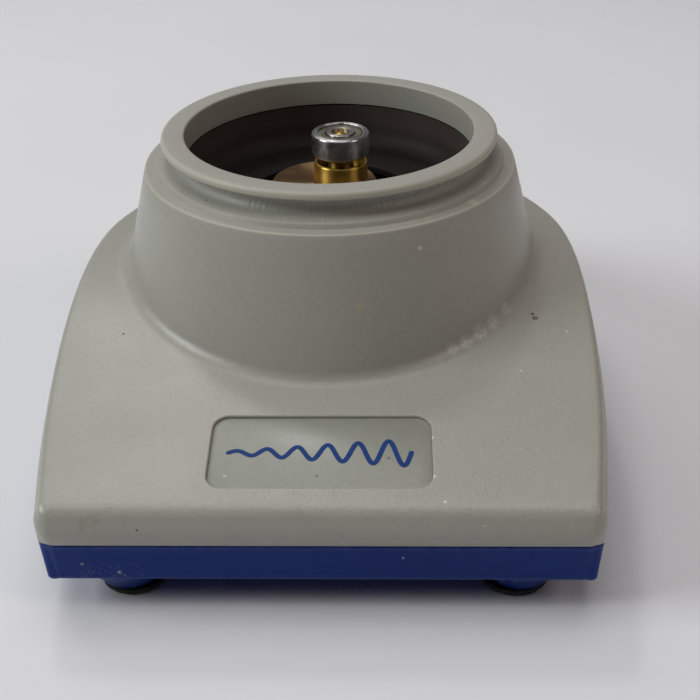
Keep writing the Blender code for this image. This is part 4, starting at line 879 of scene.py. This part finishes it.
def base():
    """A closed tray with conical bosses over its feet."""
    rim = SEAM - 0.12 * MM
    columns = []
    for spot in outline():
        draft = blend(BASE_DRAFT_SIDE, BASE_DRAFT_FRONT, spot[1])
        outer = blend(SEAM_INSET_SIDE, SEAM_INSET_FRONT, spot[1]) + SEAM_STEP
        rows = [
            (4.2 * MM, BASE_BOTTOM + WALL),
            (outer + 2.4 * MM, rim),
            (outer + 0.2 * MM, rim),
            (outer, SEAM - 0.35 * MM),
        ]
        for step in range(1, 5):
            rows.append((outer + draft * step / 5, SEAM - (SEAM - BASE_BOTTOM - BASE_EDGE) * step / 5))
        for step in range(7):
            angle = math.pi / 2 * step / 6
            inset = outer + draft + BASE_EDGE * (1 - math.cos(angle))
            rows.append((inset, BASE_BOTTOM + BASE_EDGE * (1 - math.sin(angle))))
        columns.append([on_spindle(*inside(spot, inset), z) for inset, z in rows])
    made = bmesh.new()
    grid = skin(made, columns, closed=False)
    made.faces.new([row[0] for row in grid])
    made.faces.new([row[-1] for row in grid])
    obj = mesh_object("base_shell", made)
    low = FOOT_HEIGHT + 0.3 * MM
    profile = rounded(
        [
            (0, BASE_BOTTOM + 1.5 * MM),
            (BOSS_RADIUS + 0.4 * MM, BASE_BOTTOM + 1.5 * MM),
            (BOSS_RADIUS + 0.4 * MM, BASE_BOTTOM + 0.1 * MM),
            (BOSS_RADIUS, BASE_BOTTOM - 0.2 * MM, 0.3 * MM),
            (BOSS_TIP_RADIUS + 0.35 * MM, low + 0.7 * MM, 0.8 * MM),
            (BOSS_TIP_RADIUS, low, 0.3 * MM),
            (0, low),
        ],
        4,
    )
    for x, y in foot_places():
        apply_boolean(obj, turn_profile("boss", profile, (x, y), 64), "UNION")
    smooth(obj.data)
    return dress(obj, LOOKS["blue_abs"], "housing", "blue_abs", "base_pan")


def foot_places(inset=0.0):
    for x, y in (FRONT_FOOT, REAR_FOOT):
        yield inset - x, SPINDLE_Y + y
        yield x - inset, SPINDLE_Y + y


def feet():
    profile = rounded(
        [
            (0, FOOT_HEIGHT),
            (FOOT_RADIUS, FOOT_HEIGHT, 0.3 * MM),
            (FOOT_RADIUS, 0.6 * MM, 0.3 * MM),
            (FOOT_RADIUS - 0.45 * MM, 0, 0.2 * MM),
            (FOOT_RADIUS - 2.4 * MM, 0),
            (0, 0),
        ],
        5,
    )
    names = ("front_left", "front_right", "rear_left", "rear_right")
    for name, where in zip(names, foot_places(PAD_INSET)):
        obj = turn_profile(f"foot_{name}", profile, where, 64)
        dress(obj, LOOKS["black_rubber"], "housing", "black_rubber", f"foot_pad_{name}")


def plate():
    thin = 0.04 * MM
    top = -PLATE_DEPTH + 0.7 * MM
    levels = [
        (thin, -PLATE_DEPTH + 0.2 * MM),
        (thin, top - 0.06 * MM),
        (thin + 0.02 * MM, top - 0.02 * MM),
        (thin + 0.07 * MM, top),
    ]
    dress(plate_stack("plate_face", levels), LOOKS["label"], "housing", "label", "nameplate")
    mark(top)


def mark(top):
    """A plain printed line: a wave that grows towards the right, with round ends."""
    half_width = 0.5 * MM
    start, end, waves, steps = -18.0 * MM, 17.6 * MM, 6, 300
    least, most = 0.35 * MM, 3.45 * MM
    low, high = top + 0.005 * MM, top + 0.04 * MM
    centre = []
    for step in range(steps + 1):
        share = step / steps
        height = least + (most - least) * share
        x = start + (end - start) * share
        centre.append(Vector((x, height * math.sin(2 * math.pi * waves * share))))
    path = []
    for i, point in enumerate(centre):
        along = centre[min(i + 1, steps)] - centre[max(i - 1, 0)]
        path.append((point, along.normalized(), half_width))

    def cap(point, along, way):
        turns = [math.radians(12 * step) for step in range(1, 8)]
        forward = along * way * half_width
        return [(point + forward * math.sin(turn), along, half_width * math.cos(turn)) for turn in turns]

    path = cap(*path[0][:2], -1)[::-1] + path + cap(*path[-1][:2], 1)
    rings = []
    for point, along, reach in path:
        side = Vector((-along.y, along.x)) * reach
        one, two = point + side, point - side
        corners = [(*one, low), (*one, high), (*two, high), (*two, low)]
        rings.append([PLATE_PLACE @ Vector(corner) for corner in corners])
    dress(tube("plate_wave", rings), INK, "housing", "label")


def liner():
    inner = LIP_INNER + 0.1 * MM
    outer = REBATE_RADIUS - 0.3 * MM
    flange = SHOULDER_UNDERSIDE - 0.3 * MM
    bottom = LINER_FLOOR - 1.5 * MM
    profile = rounded(
        [
            (inner + 0.4 * MM, REBATE_Z - 0.3 * MM),
            (outer, REBATE_Z - 0.3 * MM),
            (outer, flange),
            (38.6 * MM, flange),
            (38.6 * MM, flange - 1.5 * MM),
            (outer, flange - 1.5 * MM),
            (outer, bottom, 1.2 * MM),
            (LINER_HOLE, bottom),
            (LINER_HOLE, LINER_FLOOR, 0.25 * MM),
            (inner, LINER_FLOOR, 4.0 * MM),
            (inner, REBATE_Z - 0.3 * MM),
        ],
        7,
    )
    obj = turn_profile("well_cup", profile, (0, SPINDLE_Y), 144, closed=True)
    dress(obj, LOOKS["black_plastic"], "housing", "black_plastic", "well_liner")


# ---------------------------------------------------------------- spindle and bearing


def hub():
    """The brass disc over its boss, and the off-centre stem with its pin."""
    disc = rounded(
        [
            (0, DISC_TOP),
            (DISC_RADIUS, DISC_TOP, 0.35 * MM),
            (DISC_RADIUS, DISC_BOTTOM, 0.35 * MM),
            (0, DISC_BOTTOM),
        ],
        4,
    )
    obj = turn_profile("hub_disc", disc, (DISC_OFFSET, SPINDLE_Y), 128)
    boss = cylinder("boss", HUB_RADIUS, DISC_TOP - MM, HUB_BOTTOM, (0, SPINDLE_Y), 48)
    apply_boolean(obj, boss, "UNION")
    bore = cylinder("bore", 1.71 * MM, 54.8 * MM, 40 * MM, (0, SPINDLE_Y), 32)
    apply_boolean(obj, bore, "DIFFERENCE")
    smooth(obj.data)
    dress(obj, DISC_BRASS, "spindle", "brass", "eccentric_hub")
    pin = BEARING_BORE - 0.12 * MM
    seat = BEARING_BOTTOM - 0.3 * MM
    top = BEARING_TOP - 0.2 * MM
    shoulder = BEARING_BORE + 0.9 * MM
    cup_floor = STEM_TOP - 3.0 * MM
    stem = rounded(
        [
            (0, top),
            (0.5 * MM, top - 0.02 * MM),
            (1.2 * MM, top - 0.22 * MM, 0.4 * MM),
            (1.3 * MM, top - 0.5 * MM, 0.1 * MM),
            (pin, top - 0.55 * MM, 0.1 * MM),
            (pin, seat),
            (shoulder, seat, 0.1 * MM),
            (shoulder, cup_floor, 0.2 * MM),
            (STEM_RADIUS - 0.95 * MM, cup_floor, 0.2 * MM),
            (STEM_RADIUS - 0.75 * MM, STEM_TOP, 0.2 * MM),
            (STEM_RADIUS, STEM_TOP, 0.45 * MM),
            (STEM_RADIUS, DISC_TOP + 0.35 * MM, 0.25 * MM),
            (STEM_RADIUS + 0.3 * MM, DISC_TOP + 0.01 * MM),
            (0, DISC_TOP + 0.01 * MM),
        ],
        5,
    )
    obj = turn_profile("hub_stem", stem, (ECCENTRICITY, SPINDLE_Y), 128)
    dress(obj, LOOKS["brass"], "spindle", "brass")


def bearing():
    where = (ECCENTRICITY, SPINDLE_Y)
    low, high = BEARING_BOTTOM, BEARING_TOP
    land, step, race = 5.72 * MM, 0.7 * MM, 5.15 * MM
    outer = rounded(
        [
            (BEARING_OUTER, high, 0.5 * MM),
            (BEARING_OUTER, low, 0.45 * MM),
            (land, low, 0.08 * MM),
            (land, low + step),
            (race, low + step),
            (race, high - step),
            (land, high - step),
            (land, high, 0.12 * MM),
        ],
        8,
        loop=True,
    )
    obj = turn_profile("bearing_race_outer", outer, where, 128, closed=True)
    dress(obj, POLISHED, "bearing_shell", "bearing_steel", "bearing_outer_ring")
    inner_outside = 3.15 * MM
    inner = rounded(
        [
            (2.6 * MM, high),
            (inner_outside, high, 0.2 * MM),
            (inner_outside, low, 0.2 * MM),
            (BEARING_BORE, low, 0.25 * MM),
            (BEARING_BORE, high),
        ],
        6,
    )
    obj = turn_profile("bearing_race_inner", inner, where, 112, closed=True)
    dress(obj, POLISHED, "spindle", "bearing_steel", "bearing_inner_ring")
    rim, eye, thin = 5.6 * MM, 3.42 * MM, 0.12 * MM
    for name, floor, sign in (("top", high - 0.55 * MM, 1), ("bottom", low + 0.55 * MM, -1)):
        shield = rounded(
            [
                (rim, floor - sign * thin),
                (rim, floor + sign * 0.10 * MM, 0.05 * MM),
                (5.0 * MM, floor + sign * thin, 0.3 * MM),
                (4.75 * MM, floor + sign * 0.3 * MM, 0.3 * MM),
                (eye, floor + sign * 0.26 * MM, 0.1 * MM),
                (eye, floor - sign * thin),
            ],
            5,
        )
        obj = turn_profile(f"bearing_cover_{name}", shield, where, 112, closed=True)
        dress(obj, SHIELD, "bearing_shell", "bearing_steel", f"bearing_shield_{name}")
    for name, middle in (("top", high - 0.24 * MM), ("bottom", low + 0.24 * MM)):
        clip(name, middle, where)


def clip(name, middle, where):
    """A round spring wire in the groove over the shield, open by a small gap at the back."""
    wire, radius, opening, steps = 0.19 * MM, 5.47 * MM, 7, 120
    centre = Vector((*where, middle))
    rings = []
    for step in range(steps + 1):
        angle = math.radians(90 + opening + (360 - 2 * opening) * step / steps)
        rings.append(coil_ring(centre, radius, wire, angle, 10))
    obj = tube(f"bearing_clip_{name}", rings)
    dress(obj, LOOKS["zinc_steel"], "bearing_shell", "zinc_steel", f"bearing_snap_ring_{name}")


# ---------------------------------------------------------------- return springs


def springs():
    """Three coils of round wire under the motor carriage, each built at the height of its CAD part."""
    wire, coil, turns, per_turn = 0.4 * MM, 2.95 * MM, 4, 44
    for number, way in ((1, 90), (2, 210), (3, 330)):
        node = f"return_spring_{number}"
        low, high = (corner[2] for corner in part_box(node))
        way = math.radians(way)
        foot = on_spindle(POST_CIRCLE * math.cos(way), POST_CIRCLE * math.sin(way), low)
        rise = (high - low - 2 * wire) / (turns * per_turn)
        rings = []
        for step in range(turns * per_turn + 1):
            middle = foot + Vector((0, 0, wire + rise * step))
            rings.append(coil_ring(middle, coil, wire, 2 * math.pi * step / per_turn, 12))
        obj = tube(f"carriage_spring_{number}", rings)
        dress(obj, LOOKS["zinc_steel"], "housing", "zinc_steel", node)
        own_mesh(obj)


# ---------------------------------------------------------------- power jack


def jack():
    barrel = rounded(
        [
            (0, -9.5 * MM),
            (2.8 * MM, -9.5 * MM),
            (2.8 * MM, 1.5 * MM, 0.35 * MM),
            (JACK_BEZEL, 1.5 * MM, 0.45 * MM),
            (JACK_BEZEL, 0, 0.1 * MM),
            (JACK_THREAD, 0),
            (JACK_THREAD, -11.9 * MM, 0.5 * MM),
            (0, -11.9 * MM),
        ],
        5,
    )
    obj = turn_profile("jack_barrel", barrel, (0, 0), 72)
    obj.data.transform(JACK_PLACE)
    dress(obj, LOOKS["black_plastic"], "housing", "black_plastic", "power_jack_body")
    foot = -9.3 * MM
    tip = rounded([(0, -0.55 * MM), (0.95 * MM, -0.6 * MM, 0.5 * MM), (0.98 * MM, foot), (0, foot)])
    obj = turn_profile("jack_contact", tip, (0, 0), 40)
    obj.data.transform(JACK_PLACE)
    dress(obj, LOOKS["zinc_steel"], "housing", "brass", "power_jack_pin")


# ---------------------------------------------------------------- floor, light and camera


def floor():
    made = bmesh.new()
    bmesh.ops.create_grid(made, x_segments=8, y_segments=8, size=3.0)
    obj = mesh_object("floor", made)
    look = Look("floor", Roughness=0.7, IOR=1.45, Specular_IOR_Level=0.25)
    colour = look.mix(look.span(look.noise(6, 3), 0.3, 0.7), (0.78, 0.775, 0.80), (0.75, 0.745, 0.77))
    look.finish(Base_Color=colour, Normal=look.bump(look.noise(400, 3), 0.05 * MM, 0.15))
    obj.data.materials.append(look.material)


LAMP_TARGET = Vector((0, 0, 0.03))


def area_light(name, where, size, power, colour=(1, 1, 1)):
    data = bpy.data.lights.new(name, "AREA")
    data.size = size
    data.energy = power
    data.color = colour
    obj = bpy.data.objects.new(name, data)
    bpy.context.scene.collection.objects.link(obj)
    obj.location = where
    obj.rotation_euler = (LAMP_TARGET - Vector(where)).to_track_quat("-Z", "Y").to_euler()


def studio():
    world = bpy.data.worlds.new("studio")
    bpy.context.scene.world = world
    world.use_nodes = True
    tree = world.node_tree
    background = tree.nodes["Background"]
    # The sky is brightest behind the object, and dim where the viewer stands
    toward = tree.nodes.new("ShaderNodeSeparateXYZ")
    tree.links.new(tree.nodes.new("ShaderNodeTexCoord").outputs["Generated"], toward.inputs[0])
    brightness = tree.nodes.new("ShaderNodeMapRange")
    brightness.inputs["To Min"].default_value = 0.025
    brightness.inputs["To Max"].default_value = 0.21
    tree.links.new(toward.outputs["Y"], brightness.inputs["Value"])
    # Where the sky itself is in view it is a plain pale grey
    seen = tree.nodes.new("ShaderNodeLightPath").outputs["Is Camera Ray"]
    strength = tree.nodes.new("ShaderNodeMix")
    strength.inputs["B"].default_value = 0.4
    tree.links.new(seen, strength.inputs["Factor"])
    tree.links.new(brightness.outputs[0], strength.inputs["A"])
    tree.links.new(strength.outputs["Result"], background.inputs["Strength"])
    background.inputs["Color"].default_value = (1.0, 0.96, 0.97, 1)
    # Each lamp's place and side in metres, its power in watts and its colour
    for lamp in (
        ("overhead", (-0.1, 0.0, 1.6), 1.2, 9.2),
        ("left", (-1.25, -0.3, 0.9), 0.7, 12.0, (0.95, 1.0, 0.99)),
        ("behind", (-0.7, 0.9, 1.2), 0.7, 2.4),
        ("right", (1.0, -0.45, 0.9), 0.5, 2.9, (1.0, 0.87, 0.8)),
        ("glint", (-0.33, 0.9, 1.56), 0.2, 2.8),
    ):
        area_light(*lamp)
    bpy.context.scene.view_settings.view_transform = "Standard"


# The camera fitted to the photograph: its focal length in pixels of a 700 wide picture, its axes and place
FOCAL_PIXELS = 1200
PICTURE_WIDTH = 700
SENSOR_WIDTH = 36
CAMERA_FORWARD = Vector((-0.03013649, 0.85869922, -0.51159304))
CAMERA_RIGHT = Vector((0.9995423, 0.02453751, -0.01769445))
CAMERA_UP = Vector((0.00264099, 0.51189214, 0.85904567))
CAMERA_PLACE = Vector((0.012752, SPINDLE_Y - 0.257696, 0.1649))


def camera():
    data = bpy.data.cameras.new("camera")
    data.sensor_width = SENSOR_WIDTH
    data.lens = SENSOR_WIDTH * FOCAL_PIXELS / PICTURE_WIDTH
    data.clip_start = 0.01
    obj = bpy.data.objects.new("camera", data)
    bpy.context.scene.collection.objects.link(obj)
    turn = Matrix((CAMERA_RIGHT, CAMERA_UP, -CAMERA_FORWARD)).transposed().to_4x4()
    obj.matrix_world = Matrix.Translation(CAMERA_PLACE) @ turn
    bpy.context.scene.camera = obj


casing()
base()
feet()
plate()
liner()
hub()
bearing()
springs()
jack()
floor()
studio()
camera()
